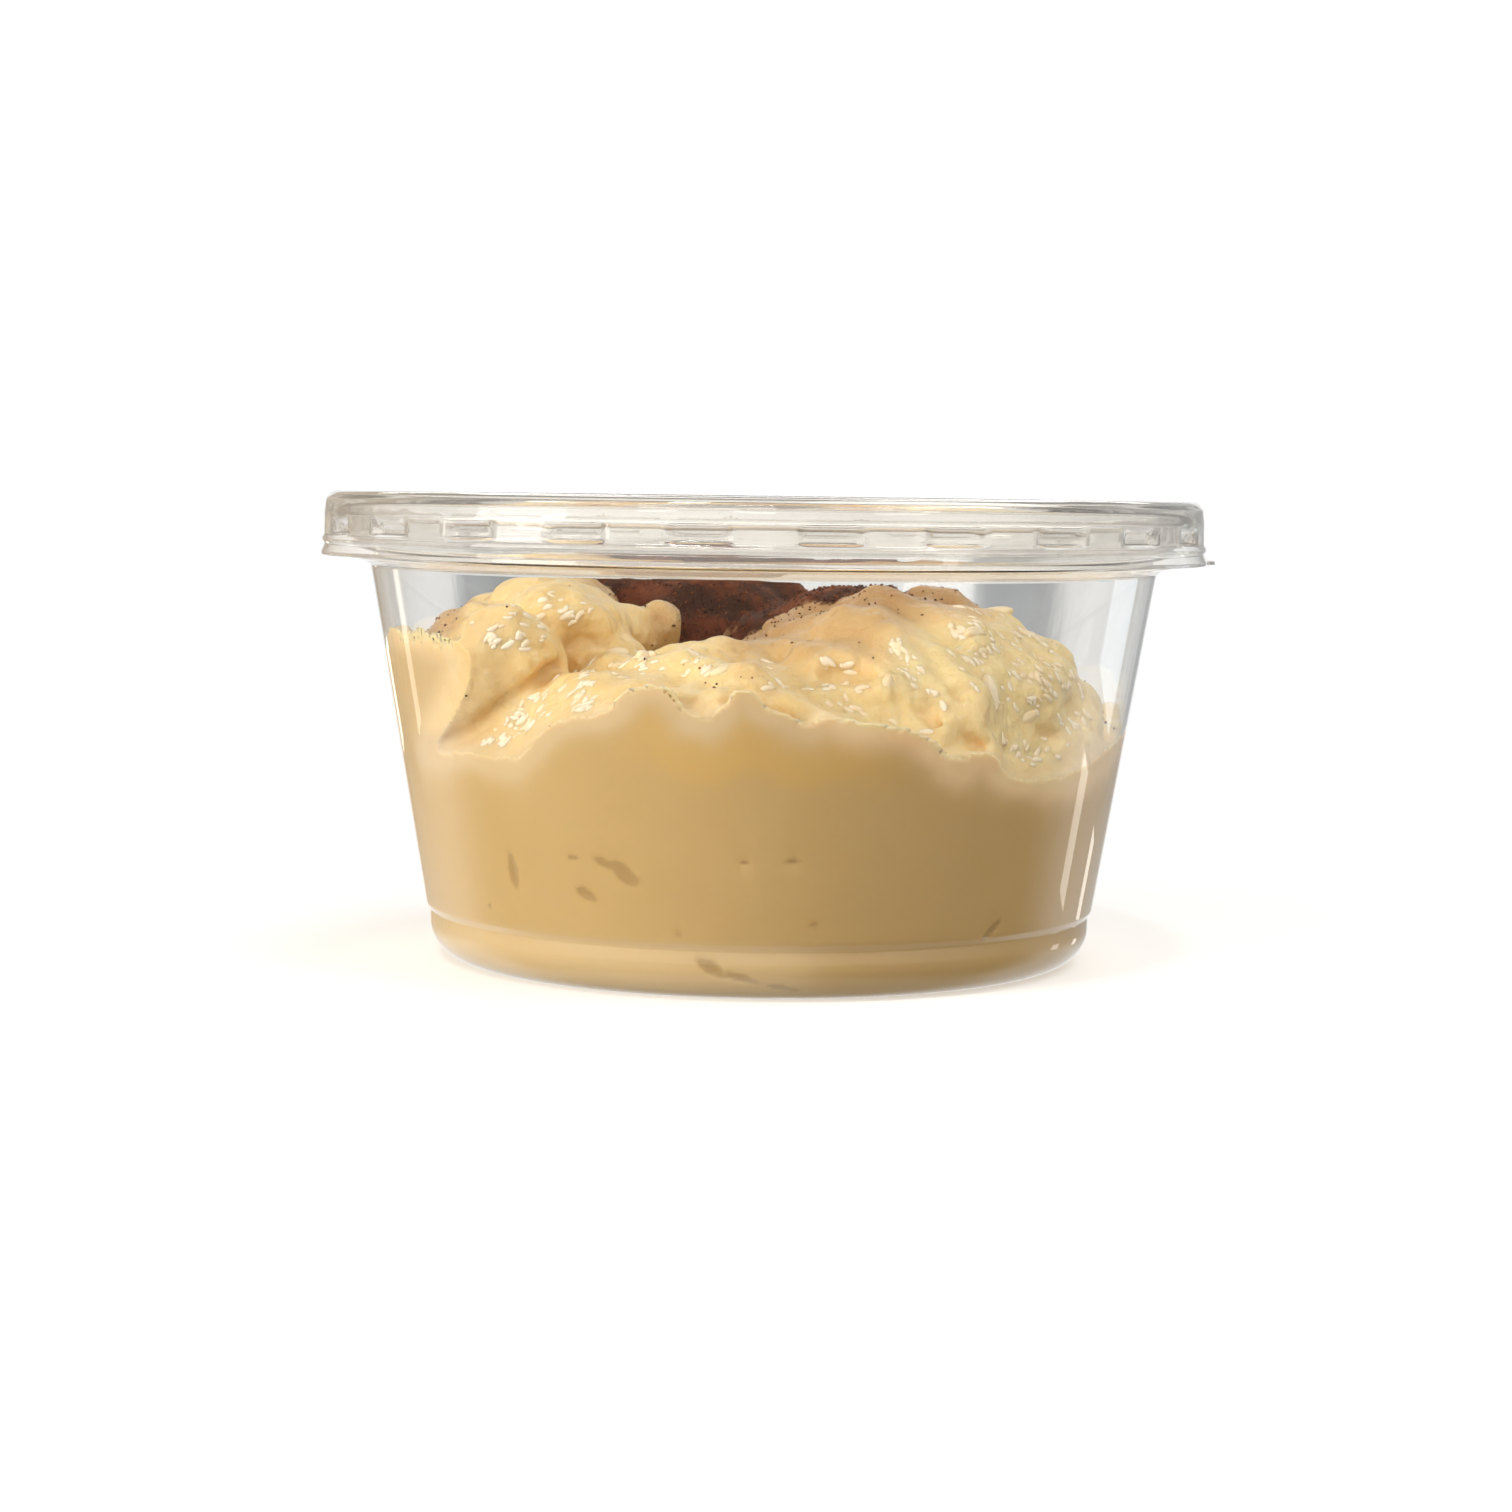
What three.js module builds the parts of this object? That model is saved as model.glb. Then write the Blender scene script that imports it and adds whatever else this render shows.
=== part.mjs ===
// Rice pudding in a round clear cup with a clear lid pressed over its rim. Millimetres, +Z up.
// The origin is the centre of the resting ring under the cup, the front is -Y.
import * as THREE from "three";

// ---- Cup: thermoformed clear plastic, open at the top ----
const CUP_WALL = 0.5; // wall thickness
const BASE_PANEL_R = 34; // radius of the raised panel under the base
const BASE_PANEL_RISE = 1.0; // how far that panel stands clear of the table
const FOOT_FLAT_R = 39.8; // outer radius of the flat resting ring
const HEEL_R = 4.9; // radius of the rounded heel
const FOOT_TOP_Z = 6.5; // top of the foot, where the stacking step starts
const STEP_TOP_Z = 7.3; // the wall starts here, wider than the foot
const STEP_OUT = 0.5; // how far the step goes out
const WALL_R0 = 45.22; // outer radius of the wall just above the step
const WALL_SLOPE = 0.1686; // mm of radius for each mm of height
const SHOULDER_Z = 52.0; // where the wall starts to flare into the shoulder
const LEDGE_R = 55.0; // outer radius of the shoulder ledge
const LEDGE_Z = 53.35; // height of that ledge
const COLLAR_R = 55.75; // outer radius of the collar below the rim
const RIM_R = 57.65; // outer radius of the rolled rim
const RIM_LOW_Z = 58.95; // underside of the rolled rim
const RIM_TOP_Z = 61.2; // top of the rolled rim
const CUP_SEGMENTS = 48;

// ---- Lid: the same clear plastic, pressed over the rim ----
const LID_WALL = 0.5; // wall thickness
const PANEL_Z = 58.6; // top face of the sunken panel
const PLUG_R = 52.6; // where the panel turns up into the plug wall
const CREST_IN_R = 54.5; // inner edge of the flat crest
const CREST_OUT_R = 57.9; // outer edge of the flat crest
const LID_TOP_Z = 62.1; // top of the crest
const SKIRT_TOP_R = 58.75; // outer radius at the top of the skirt
const SKIRT_LOW_R = 59.05; // and just above the bead
const BEAD_R = 59.3; // the bead that runs round above the flange
const BEAD_Z = 55.9; // its middle
const GROOVE_Z = 55.1; // the groove between the bead and the flange
const FLANGE_R = 59.5; // outer radius of the flange
const FLANGE_Z = 53.7; // bottom edge of the flange
const FLANGE_LIP = 0.45; // height of the flange's outer edge
const LUGS = 24; // lugs pressed in round the skirt, which hold it under the rim
const LUG_PHASE = 7.6; // degrees from the front, towards +X, of one lug's middle
const LUG_HALF = 3.5; // half the width of a lug, degrees
const LUG_FLANK = 1.0; // width of a lug's sloping end, degrees
const LUG_TOP_Z = 59.1; // a lug starts to lean in here
const LUG_FULL_Z = 57.2; // and reaches its full depth here
const LUG_LOW_Z = 56.75; // to here,
const LUG_END_Z = 56.45; // where its ledge comes back out
const LUG_DEPTH = 0.9;
const TAB_AT = 92; // degrees from the front of the pull tab's middle
const TAB_HALF = 9; // half its width, degrees
const TAB_OUT = 1.5; // how far it stands out past the flange

// ---- Pudding: one solid out to its uneven top ----
const GAP = 0.3; // clearance between the pudding and the cup
const PUDDING_SEGMENTS = 54;
const TOP_RINGS = 10; // rings of the uneven top
const WALL_RINGS = 3; // rings up the side
const BLEND = 1.6; // softness of the creases between the mounds, mm
const EDGE_DROP = 0.7; // the top rounds over by this much at the wall
const LUMP = 0.45; // height of the small unevenness
// What fills the cup under the mounds: a level that rises to the back.
const FILL = { z: 28.2, y: -36, rise: 0.09 };
// Mounds: middle (x, y), half-widths to -X, +X, -Y and +Y, the height of the
// middle of the body and of its top, and how flat the top is (2 is a plain
// ellipsoid, more is flatter).
const MOUNDS = {
  leftScoop: { x: -26, y: -6, l: 29, r: 15, f: 23, b: 27, low: 26, top: 50.4, flat: 2 },
  leftPress: { x: -42, y: -6, l: 16, r: 14, f: 23, b: 26, low: 24, top: 43.5, flat: 3 },
  frontRidge: { x: -9, y: -29, l: 27, r: 25, f: 30, b: 15, low: 22, top: 42.8, flat: 2 },
  frontFoot: { x: 6, y: -46, l: 18, r: 22, f: 20, b: 20, low: 20, top: 35.0, flat: 2 },
  rightDome: { x: 15, y: -7, l: 25, r: 31.5, f: 34, b: 30, low: 27, top: 50.5, flat: 2 },
  backMound: { x: -10, y: 20, l: 33, r: 27, f: 21, b: 28, low: 25, top: 51.4, flat: 3 },
  backRight: { x: 24, y: 30, l: 26, r: 24, f: 24, b: 24, low: 22, top: 41.0, flat: 2 },
};

const rad = THREE.MathUtils.degToRad;
const v2 = (r, z) => new THREE.Vector2(r, z);

// Outer radius of the cup's plain wall at a height.
const wallRadius = (z) => WALL_R0 + (z - STEP_TOP_Z) * WALL_SLOPE;

// Quarter of a circle in the profile plane, from the flat foot up to the wall.
function heel(flatR, bottomZ, radius, steps) {
  const points = [];
  for (let i = 0; i <= steps; i++) {
    const a = (i / steps) * (Math.PI / 2);
    points.push(
      v2(flatR + radius * Math.sin(a), bottomZ + radius * (1 - Math.cos(a))),
    );
  }
  return points;
}

// The cup's profile: up the outside, over the rim and down the inside.
function cupProfile() {
  const t = CUP_WALL;
  const outer = [
    v2(0, BASE_PANEL_RISE),
    v2(BASE_PANEL_R, BASE_PANEL_RISE),
    v2(BASE_PANEL_R + 1.2, 0),
    ...heel(FOOT_FLAT_R, 0, HEEL_R, 4),
    v2(WALL_R0 - STEP_OUT, FOOT_TOP_Z),
    v2(WALL_R0, STEP_TOP_Z),
    v2(wallRadius(SHOULDER_Z), SHOULDER_Z),
    v2(LEDGE_R - 1.0, LEDGE_Z - 0.3),
    v2(LEDGE_R + 0.2, LEDGE_Z),
    v2(COLLAR_R, RIM_LOW_Z),
    v2(RIM_R - 0.2, RIM_LOW_Z),
    v2(RIM_R, RIM_TOP_Z - 0.6),
    v2(RIM_R - 0.6, RIM_TOP_Z),
  ];
  const inner = [
    v2(COLLAR_R, RIM_TOP_Z),
    v2(COLLAR_R - t - 0.05, RIM_LOW_Z),
    v2(LEDGE_R + 0.2 - t, LEDGE_Z + 0.45),
    v2(LEDGE_R - 1.4, LEDGE_Z + 0.15),
    v2(wallRadius(SHOULDER_Z) - t, SHOULDER_Z + 0.15),
    v2(WALL_R0 - t, STEP_TOP_Z + 0.15),
    v2(WALL_R0 - STEP_OUT - t, FOOT_TOP_Z + 0.1),
    ...heel(FOOT_FLAT_R, t, HEEL_R - t, 4).reverse(),
    v2(BASE_PANEL_R + 1.0, t),
    v2(BASE_PANEL_R - 0.2, BASE_PANEL_RISE + t),
    v2(0, BASE_PANEL_RISE + t),
  ];
  return [...outer, ...inner];
}

// The lid's profile: out underneath, round the flange, up the skirt and back
// over the top.
function lidProfile() {
  const t = LID_WALL;
  const top = [
    v2(0, PANEL_Z),
    v2(PLUG_R, PANEL_Z),
    v2(PLUG_R + 0.9, PANEL_Z + 0.6),
    v2(CREST_IN_R - 0.6, LID_TOP_Z - 0.6),
    v2(CREST_IN_R, LID_TOP_Z),
    v2(CREST_OUT_R, LID_TOP_Z),
    v2(SKIRT_TOP_R, LID_TOP_Z - 0.9),
    v2(SKIRT_LOW_R - 0.05, LUG_TOP_Z),
    v2(SKIRT_LOW_R, LUG_FULL_Z),
    v2(SKIRT_LOW_R, LUG_LOW_Z),
    v2(SKIRT_LOW_R, LUG_END_Z),
    v2(BEAD_R, BEAD_Z),
    v2(SKIRT_LOW_R, GROOVE_Z),
    v2(FLANGE_R, FLANGE_Z + FLANGE_LIP),
    v2(FLANGE_R, FLANGE_Z),
  ];
  const under = [
    v2(FLANGE_R - 0.5, FLANGE_Z),
    v2(SKIRT_LOW_R - t, GROOVE_Z),
    v2(BEAD_R - t, BEAD_Z),
    v2(SKIRT_LOW_R - t, LUG_END_Z - 0.1),
    v2(SKIRT_LOW_R - t, LUG_LOW_Z),
    v2(SKIRT_LOW_R - t, LUG_FULL_Z),
    v2(SKIRT_LOW_R - 0.05 - t, LUG_TOP_Z),
    v2(CREST_OUT_R - 0.1, LID_TOP_Z - t),
    v2(CREST_IN_R + 0.2, LID_TOP_Z - t),
    v2(PLUG_R + 0.9 + t, PANEL_Z + 0.4),
    v2(PLUG_R + 0.3, PANEL_Z - t),
    v2(0, PANEL_Z - t),
  ];
  return [...top, ...under].reverse();
}

// Turns a profile about Z. place(column, row, angle, radius, z) gives each
// point of it, the angle counting from the front (-Y) towards +X.
function turned(profile, columns, place) {
  const geometry = new THREE.LatheGeometry(profile, columns);
  const position = geometry.getAttribute("position");
  const rows = profile.length;
  for (let i = 0; i <= columns; i++)
    for (let j = 0; j < rows; j++) {
      const column = i % columns;
      const [angle, r, z] = place(
        column,
        j,
        (column / columns) * 2 * Math.PI,
        profile[j].x,
        profile[j].y,
      );
      position.setXYZ(
        i * rows + j,
        r * Math.sin(angle),
        -r * Math.cos(angle),
        z,
      );
    }
  geometry.deleteAttribute("uv");
  geometry.computeVertexNormals();
  return geometry;
}

const smooth = (x) => {
  const t = Math.min(1, Math.max(0, x));
  return t * t * (3 - 2 * t);
};

// ---- Cup ----
const cupGeometry = turned(cupProfile(), CUP_SEGMENTS, (i, j, a, r, z) => [
  a,
  r,
  z,
]);

// ---- Lid ----
// Four columns to a lug: the two ends of its flat and the two feet of its
// flanks, so that every lug has the same crisp outline.
const lidColumns = LUGS * 4;
const lugOffsets = [
  -LUG_HALF - LUG_FLANK,
  -LUG_HALF,
  LUG_HALF,
  LUG_HALF + LUG_FLANK,
];
const lugDepthAt = (z) =>
  z >= LUG_TOP_Z || z <= LUG_END_Z
    ? 0
    : z >= LUG_FULL_Z
      ? (LUG_DEPTH * (LUG_TOP_Z - z)) / (LUG_TOP_Z - LUG_FULL_Z)
      : z >= LUG_LOW_Z
        ? LUG_DEPTH
        : (LUG_DEPTH * (z - LUG_END_Z)) / (LUG_LOW_Z - LUG_END_Z);
const lidGeometry = turned(lidProfile(), lidColumns, (i, j, a, r, z) => {
  const lug = Math.floor(i / 4);
  const degrees = LUG_PHASE + (360 / LUGS) * lug + lugOffsets[i % 4];
  const onLug = i % 4 === 1 || i % 4 === 2;
  let radius = r;
  if (onLug && r > 58) radius -= lugDepthAt(z);
  // The pull tab: the flange's edge runs out into a low rounded tongue.
  if (r >= FLANGE_R - 0.01) {
    const off = Math.abs(((degrees - TAB_AT + 540) % 360) - 180);
    radius += TAB_OUT * smooth(1.35 * (1 - off / TAB_HALF));
  }
  return [rad(degrees), radius, z];
});

// ---- Pudding ----
// Softened maximum of two heights.
const softMax = (a, b) => {
  const h = Math.max(0, 1 - Math.abs(a - b) / (2 * BLEND));
  return Math.max(a, b) + h * h * BLEND * 0.5;
};
// Height of one mound over a point, far below everything outside it.
const moundHeight = (m, x, y) => {
  const u = (x - m.x) / (x < m.x ? m.l : m.r);
  const v = (y - m.y) / (y < m.y ? m.f : m.b);
  const q = Math.pow(u * u + v * v, m.flat / 2);
  return q < 1 ? m.low + (m.top - m.low) * Math.sqrt(1 - q) : m.low - 20 * (q - 1);
};
const lumps = (x, y) =>
  LUMP *
  (Math.sin(0.43 * x + 0.9) * Math.cos(0.37 * y - 0.4) +
    0.7 * Math.sin(0.71 * y + 0.5 * x) +
    0.5 * Math.cos(0.95 * x - 0.62 * y + 1.3));
function topHeight(x, y) {
  let z = FILL.z + FILL.rise * (y - FILL.y);
  for (const m of Object.values(MOUNDS)) z = softMax(z, moundHeight(m, x, y));
  return z + lumps(x, y);
}
const innerRadius = (z) => wallRadius(z) - CUP_WALL - GAP;
// Height at which the pudding leaves the wall, by angle from the front.
function contactHeight(angle) {
  let z = 35;
  for (let k = 0; k < 6; k++) {
    const r = innerRadius(z);
    z = topHeight(r * Math.sin(angle), -r * Math.cos(angle));
  }
  return z - EDGE_DROP;
}
const puddingFloor = [
  v2(0, BASE_PANEL_RISE + CUP_WALL + GAP),
  v2(BASE_PANEL_R - 0.5, BASE_PANEL_RISE + CUP_WALL + GAP),
  v2(BASE_PANEL_R + 0.8, CUP_WALL + GAP),
  ...heel(FOOT_FLAT_R, CUP_WALL + GAP, HEEL_R - CUP_WALL - GAP, 3),
  v2(WALL_R0 - STEP_OUT - CUP_WALL - GAP, FOOT_TOP_Z + 0.1),
];
const wallStart = STEP_TOP_Z + 0.3;
const puddingRows = [...puddingFloor];
for (let k = 0; k <= WALL_RINGS; k++) puddingRows.push(v2(1, k));
for (let k = 1; k <= TOP_RINGS; k++) puddingRows.push(v2(1 - k / TOP_RINGS, k));
const puddingGeometry = turned(puddingRows, PUDDING_SEGMENTS, (i, j, a, r, z) => {
  const onWall = j - puddingFloor.length;
  if (onWall < 0) return [a, r, z];
  const contact = contactHeight(a);
  if (onWall <= WALL_RINGS) {
    const h = wallStart + ((contact - wallStart) * onWall) / WALL_RINGS;
    return [a, innerRadius(h), h];
  }
  // Over the top the rings close in on the middle, denser at the edge.
  const k = onWall - WALL_RINGS;
  const share = k === TOP_RINGS ? 0 : 1 - Math.pow(k / TOP_RINGS, 1.15);
  const edge = innerRadius(contact);
  const radius = edge * share;
  return [
    a,
    radius,
    topHeight(radius * Math.sin(a), -radius * Math.cos(a)) -
      EDGE_DROP * Math.pow(share, 12),
  ];
});

// ---- The set ----
const clear = (colour, opacity) =>
  new THREE.MeshStandardMaterial({
    color: colour,
    roughness: 0.08,
    metalness: 0,
    transparent: true,
    opacity,
  });
const group = new THREE.Group();
function add(name, geometry, material) {
  const mesh = new THREE.Mesh(geometry, material);
  mesh.name = name;
  group.add(mesh);
}
add("cup", cupGeometry, clear(0xe9ece8, 0.35));
add("lid", lidGeometry, clear(0xecefec, 0.4));
add(
  "pudding",
  puddingGeometry,
  new THREE.MeshStandardMaterial({
    color: 0xdcbb86,
    roughness: 0.45,
    metalness: 0,
  }),
);

export default group;
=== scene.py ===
"""Rice pudding in a round clear cup with a clear lid. Metres in Blender; the shapes below are worked out in millimetres."""

import math

import bmesh
import bpy
import numpy as np
from mathutils import Matrix, Vector


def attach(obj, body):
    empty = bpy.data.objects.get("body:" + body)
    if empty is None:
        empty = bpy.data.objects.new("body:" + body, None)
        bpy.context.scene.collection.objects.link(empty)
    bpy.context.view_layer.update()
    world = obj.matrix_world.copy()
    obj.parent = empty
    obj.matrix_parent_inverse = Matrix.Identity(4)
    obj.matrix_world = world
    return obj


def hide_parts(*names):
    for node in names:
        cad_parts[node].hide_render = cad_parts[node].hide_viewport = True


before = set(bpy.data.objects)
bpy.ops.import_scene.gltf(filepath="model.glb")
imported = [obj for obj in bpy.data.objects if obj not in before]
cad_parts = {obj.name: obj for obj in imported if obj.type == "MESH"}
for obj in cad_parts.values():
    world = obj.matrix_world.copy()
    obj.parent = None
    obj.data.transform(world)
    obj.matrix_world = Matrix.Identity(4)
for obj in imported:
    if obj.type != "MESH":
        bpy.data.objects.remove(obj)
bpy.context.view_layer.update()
MM = 0.001

# ------------------------------------------------------------------ camera
CAM_Y, CAM_Z = -430.0, 62.69
FOCAL_PX = 3174.66
PITCH, ROLL, YAW = 0.0831, 0.0137, -0.0016


def camera_axes():
    fwd = Vector((math.cos(PITCH) * math.sin(YAW), math.cos(PITCH) * math.cos(YAW), -math.sin(PITCH)))
    r0 = Vector((math.cos(YAW), -math.sin(YAW), 0))
    u0 = Vector((math.sin(PITCH) * math.sin(YAW), math.sin(PITCH) * math.cos(YAW), math.cos(PITCH)))
    right = math.cos(ROLL) * r0 + math.sin(ROLL) * u0
    up = -math.sin(ROLL) * r0 + math.cos(ROLL) * u0
    return right, up, fwd


def make_camera():
    right, up, fwd = camera_axes()
    cam = bpy.data.objects.new("camera", bpy.data.cameras.new("camera"))
    bpy.context.scene.collection.objects.link(cam)
    m = Matrix.Identity(4)
    for i in range(3):
        m[i][0], m[i][1], m[i][2] = right[i], up[i], -fwd[i]
    m[0][3], m[1][3], m[2][3] = 0, CAM_Y * MM, CAM_Z * MM
    cam.matrix_world = m
    cam.data.sensor_width = 36
    cam.data.lens = 36 * FOCAL_PX / 1512
    cam.data.clip_start, cam.data.clip_end = 0.02, 20
    bpy.context.scene.camera = cam
    return cam


def ray(px, py):
    """Start and direction, in mm, of the line of sight through a point of the 1512 x 1512 frame."""
    right, up, fwd = camera_axes()
    d = fwd * FOCAL_PX + right * (px - 756) - up * (py - 756)
    d.normalize()
    return np.array((0, CAM_Y, CAM_Z)), np.array(d)


make_camera()


# ------------------------------------------------------------------ small tools
def build_mesh(name, verts, faces):
    """A mesh object from an array of corners in mm and an array of quads or triangles."""
    me = bpy.data.meshes.new(name)
    verts = np.asarray(verts, np.float32) * MM
    faces = np.asarray(faces, np.int32)
    k = faces.shape[1]
    me.vertices.add(len(verts))
    me.vertices.foreach_set("co", verts.ravel())
    me.loops.add(faces.size)
    me.loops.foreach_set("vertex_index", faces.ravel())
    me.polygons.add(len(faces))
    me.polygons.foreach_set("loop_start", np.arange(0, faces.size, k, dtype=np.int32))
    me.update(calc_edges=True)
    me.validate()
    me.polygons.foreach_set("use_smooth", np.ones(len(me.polygons), bool))
    ob = bpy.data.objects.new(name, me)
    bpy.context.scene.collection.objects.link(ob)
    return ob


def smoothstep(a, b, x):
    t = np.clip((x - a) / (b - a), 0, 1)
    return t * t * (3 - 2 * t)


def hash01(ix, iy, iz, seed):
    h = (ix * 374761393 + iy * 668265263 + iz * 2147483647 + seed * 1274126177) & 0xFFFFFFFF
    h = ((h ^ (h >> 13)) * 1274126177) & 0xFFFFFFFF
    h = h ^ (h >> 16)
    return (h & 0xFFFFFF) / float(0xFFFFFF)


def noise3(p, scale, seed):
    """Smooth value noise from -1 to 1 at points p (n x 3, mm); scale is the lump size in mm."""
    q = np.asarray(p, np.float64) / scale + 1000.0
    i = np.floor(q).astype(np.int64)
    f = q - i
    f = f * f * (3 - 2 * f)
    out = 0
    for dx in (0, 1):
        wx = f[:, 0] if dx else 1 - f[:, 0]
        for dy in (0, 1):
            wy = f[:, 1] if dy else 1 - f[:, 1]
            for dz in (0, 1):
                wz = f[:, 2] if dz else 1 - f[:, 2]
                out = out + wx * wy * wz * hash01(i[:, 0] + dx, i[:, 1] + dy, i[:, 2] + dz, seed)
    return out * 2 - 1


def fbm(p, scale, seed, octaves=3):
    total, amp, norm = 0, 1.0, 0
    for o in range(octaves):
        total = total + amp * noise3(p, scale / 2**o, seed + 17 * o)
        norm += amp
        amp *= 0.5
    return total / norm


# ------------------------------------------------------------------ revolved clear plastic
def rounded(points, steps=5):
    """A polyline (r, z, fillet radius) with its corners turned into arcs, and a support point just outside each arc."""
    out = []
    n = len(points)
    for i, (r, z, rad) in enumerate(points):
        p = np.array((r, z), float)
        if rad <= 0 or i in (0, n - 1):
            out.append(p)
            continue
        a = np.array(points[i - 1][:2], float) - p
        b = np.array(points[i + 1][:2], float) - p
        la, lb = np.linalg.norm(a), np.linalg.norm(b)
        a, b = a / la, b / lb
        ang = math.acos(max(-1, min(1, float(a @ b))))
        if ang > math.pi - 0.02:
            out.append(p)
            continue
        back = min(rad / math.tan(ang / 2), la * 0.45, lb * 0.45)
        rr = back * math.tan(ang / 2)
        bis = (a + b) / np.linalg.norm(a + b)
        centre = p + bis * rr / math.sin(ang / 2)
        s, e = p + a * back, p + b * back
        if la > back * 2 + 0.6:
            out.append(s + a * min(0.25, la * 0.04))
        a0 = math.atan2(*(s - centre)[::-1])
        a1 = math.atan2(*(e - centre)[::-1])
        d = (a1 - a0 + math.pi) % (2 * math.pi) - math.pi
        for k in range(steps + 1):
            t = a0 + d * k / steps
            out.append(centre + rr * np.array((math.cos(t), math.sin(t))))
        if lb > back * 2 + 0.6:
            out.append(e + b * min(0.25, lb * 0.04))
    return np.array(out)


def revolve(name, profile, segments, push=None, phase=0.0):
    """A closed solid turned round the z axis. push(angle, r, z) gives what is added to the radius."""
    ang = phase + np.arange(segments) * 2 * math.pi / segments
    s, c = np.sin(ang), np.cos(ang)
    verts, rows = [], []
    for r, z in profile:
        if r < 1e-6:
            rows.append([sum(len(v) for v in verts)])
            verts.append(np.array([[0, 0, z]]))
            continue
        rr = np.full(segments, r)
        if push is not None:
            rr = rr + push(ang, r, z)
        base = sum(len(v) for v in verts)
        verts.append(np.stack([rr * s, -rr * c, np.full(segments, z)], 1))
        rows.append(list(range(base, base + segments)))
    faces = []
    for a, b in zip(rows[:-1], rows[1:]):
        for k in range(segments):
            k2 = (k + 1) % segments
            if len(a) == 1:
                faces.append((a[0], b[k2], b[k]))
            elif len(b) == 1:
                faces.append((a[k], a[k2], b[0]))
            else:
                faces.append((a[k], a[k2], b[k2], b[k]))
    verts = np.concatenate(verts) * MM
    me = bpy.data.meshes.new(name)
    me.from_pydata(verts.tolist(), [], faces)
    me.update()
    bm = bmesh.new()
    bm.from_mesh(me)
    bmesh.ops.recalc_face_normals(bm, faces=bm.faces)
    for f in bm.faces:
        f.smooth = True
    bm.to_mesh(me)
    bm.free()
    ob = bpy.data.objects.new(name, me)
    bpy.context.scene.collection.objects.link(ob)
    return ob


WALL = 0.5
WALL_SLOPE = 0.1686
WALL_R0 = 45.22


def arc(cx, cz, rad, a0, a1, n):
    return [(cx + rad * math.cos(math.radians(a0 + (a1 - a0) * i / n)), cz + rad * math.sin(math.radians(a0 + (a1 - a0) * i / n)), 0) for i in range(n + 1)]


CUP_OUT = (
    [(0, 1.0, 0), (34.0, 1.0, 1.2), (35.2, 0.0, 0.6)]
    + arc(39.8, 4.9, 4.9, -90, 0, 14)
    + [(44.72, 6.5, 0.5), (45.22, 7.3, 0.5), (52.83, 52.4, 0.5), (54.0, 53.05, 0.5), (55.2, 53.35, 0.5), (55.75, 58.95, 0.25), (57.45, 58.95, 0.35), (57.65, 60.6, 0.5), (57.05, 61.2, 0.45)]
)
CUP_IN = (
    [(55.75, 61.2, 0.4), (55.2, 58.95, 0.6), (54.7, 53.8, 0.5), (53.6, 53.5, 0.5), (52.36, 52.55, 0.45), (44.72, 7.45, 0.5), (44.22, 6.6, 0.5)]
    + arc(39.8, 4.9, 4.4, 0, -90, 12)
    + [(35.0, 0.5, 0.6), (33.8, 1.5, 1.0), (0, 1.5, 0)]
)
LID_TOP = [
    (0, 58.6, 0), (52.6, 58.6, 0.7), (53.5, 59.2, 0.6), (53.9, 61.5, 0.6), (54.5, 62.1, 0.7), (57.9, 62.1, 1.0), (58.75, 61.2, 1.0),
    (59.0, 59.1, 0), (59.01, 58.75, 0), (59.02, 58.4, 0), (59.03, 58.05, 0), (59.04, 57.7, 0), (59.05, 57.4, 0), (59.05, 57.2, 0), (59.05, 57.05, 0), (59.05, 56.9, 0), (59.05, 56.75, 0), (59.05, 56.65, 0), (59.05, 56.55, 0),
    (59.05, 56.42, 0), (59.18, 56.2, 0), (59.28, 55.98, 0), (59.3, 55.75, 0), (59.22, 55.5, 0), (59.08, 55.28, 0), (59.0, 55.1, 0.3), (59.4, 54.2, 0.3), (59.4, 53.7, 0.12),
]
LID_UNDER = [
    (58.95, 53.7, 0.12), (58.5, 55.1, 0.3), (58.62, 55.35, 0), (58.74, 55.55, 0), (58.8, 55.78, 0), (58.76, 56.0, 0), (58.64, 56.2, 0),
    (58.55, 56.42, 0), (58.55, 56.55, 0), (58.55, 56.65, 0), (58.55, 56.75, 0), (58.55, 56.9, 0), (58.55, 57.05, 0), (58.55, 57.2, 0), (58.54, 57.4, 0), (58.53, 57.7, 0), (58.52, 58.05, 0), (58.51, 58.4, 0), (58.5, 58.75, 0), (58.5, 59.1, 0),
    (57.8, 61.6, 1.0), (54.7, 61.6, 0.5), (54.0, 59.0, 0.6), (52.9, 58.1, 0.7), (0, 58.1, 0),
]
LUGS, LUG_PHASE, LUG_HALF, LUG_FLANK, LUG_DEPTH = 24, 7.6, 3.5, 1.0, 0.9
TAB_AT, TAB_HALF, TAB_OUT = 92.0, 9.0, 1.5


def lid_push(ang, r, z):
    out = np.zeros_like(ang)
    deg = np.degrees(ang)
    if 56.4 < z < 59.15 and r > 58:
        step = 360 / LUGS
        off = np.abs((deg - LUG_PHASE + step / 2) % step - step / 2)
        wide = 1 - smoothstep(LUG_HALF - LUG_FLANK * 0.5, LUG_HALF + LUG_FLANK * 0.5, off)
        tall = smoothstep(59.15, 57.25, np.full_like(ang, z)) if z > 57.2 else 1 - smoothstep(56.8, 56.45, np.full_like(ang, z))
        out = out - LUG_DEPTH * wide * tall
    if z < 54.6 and r > 58:
        off = (deg - TAB_AT + 180) % 360 - 180
        t = np.clip(1 - (off / TAB_HALF) ** 2, 0, 1)
        out = out + TAB_OUT * smoothstep(0, 1, t) * smoothstep(54.6, 54.1, np.full_like(ang, z))
    return out


cup = revolve("cup_clear", rounded(CUP_OUT + CUP_IN), 360)
lid = revolve("lid_clear", rounded(LID_TOP + LID_UNDER, 4), 24 * (23), lid_push, math.radians(LUG_PHASE))


# ------------------------------------------------------------------ the pudding: mounds
FILL_Z, FILL_Y, FILL_RISE = 28.2, -36.0, 0.09
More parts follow.
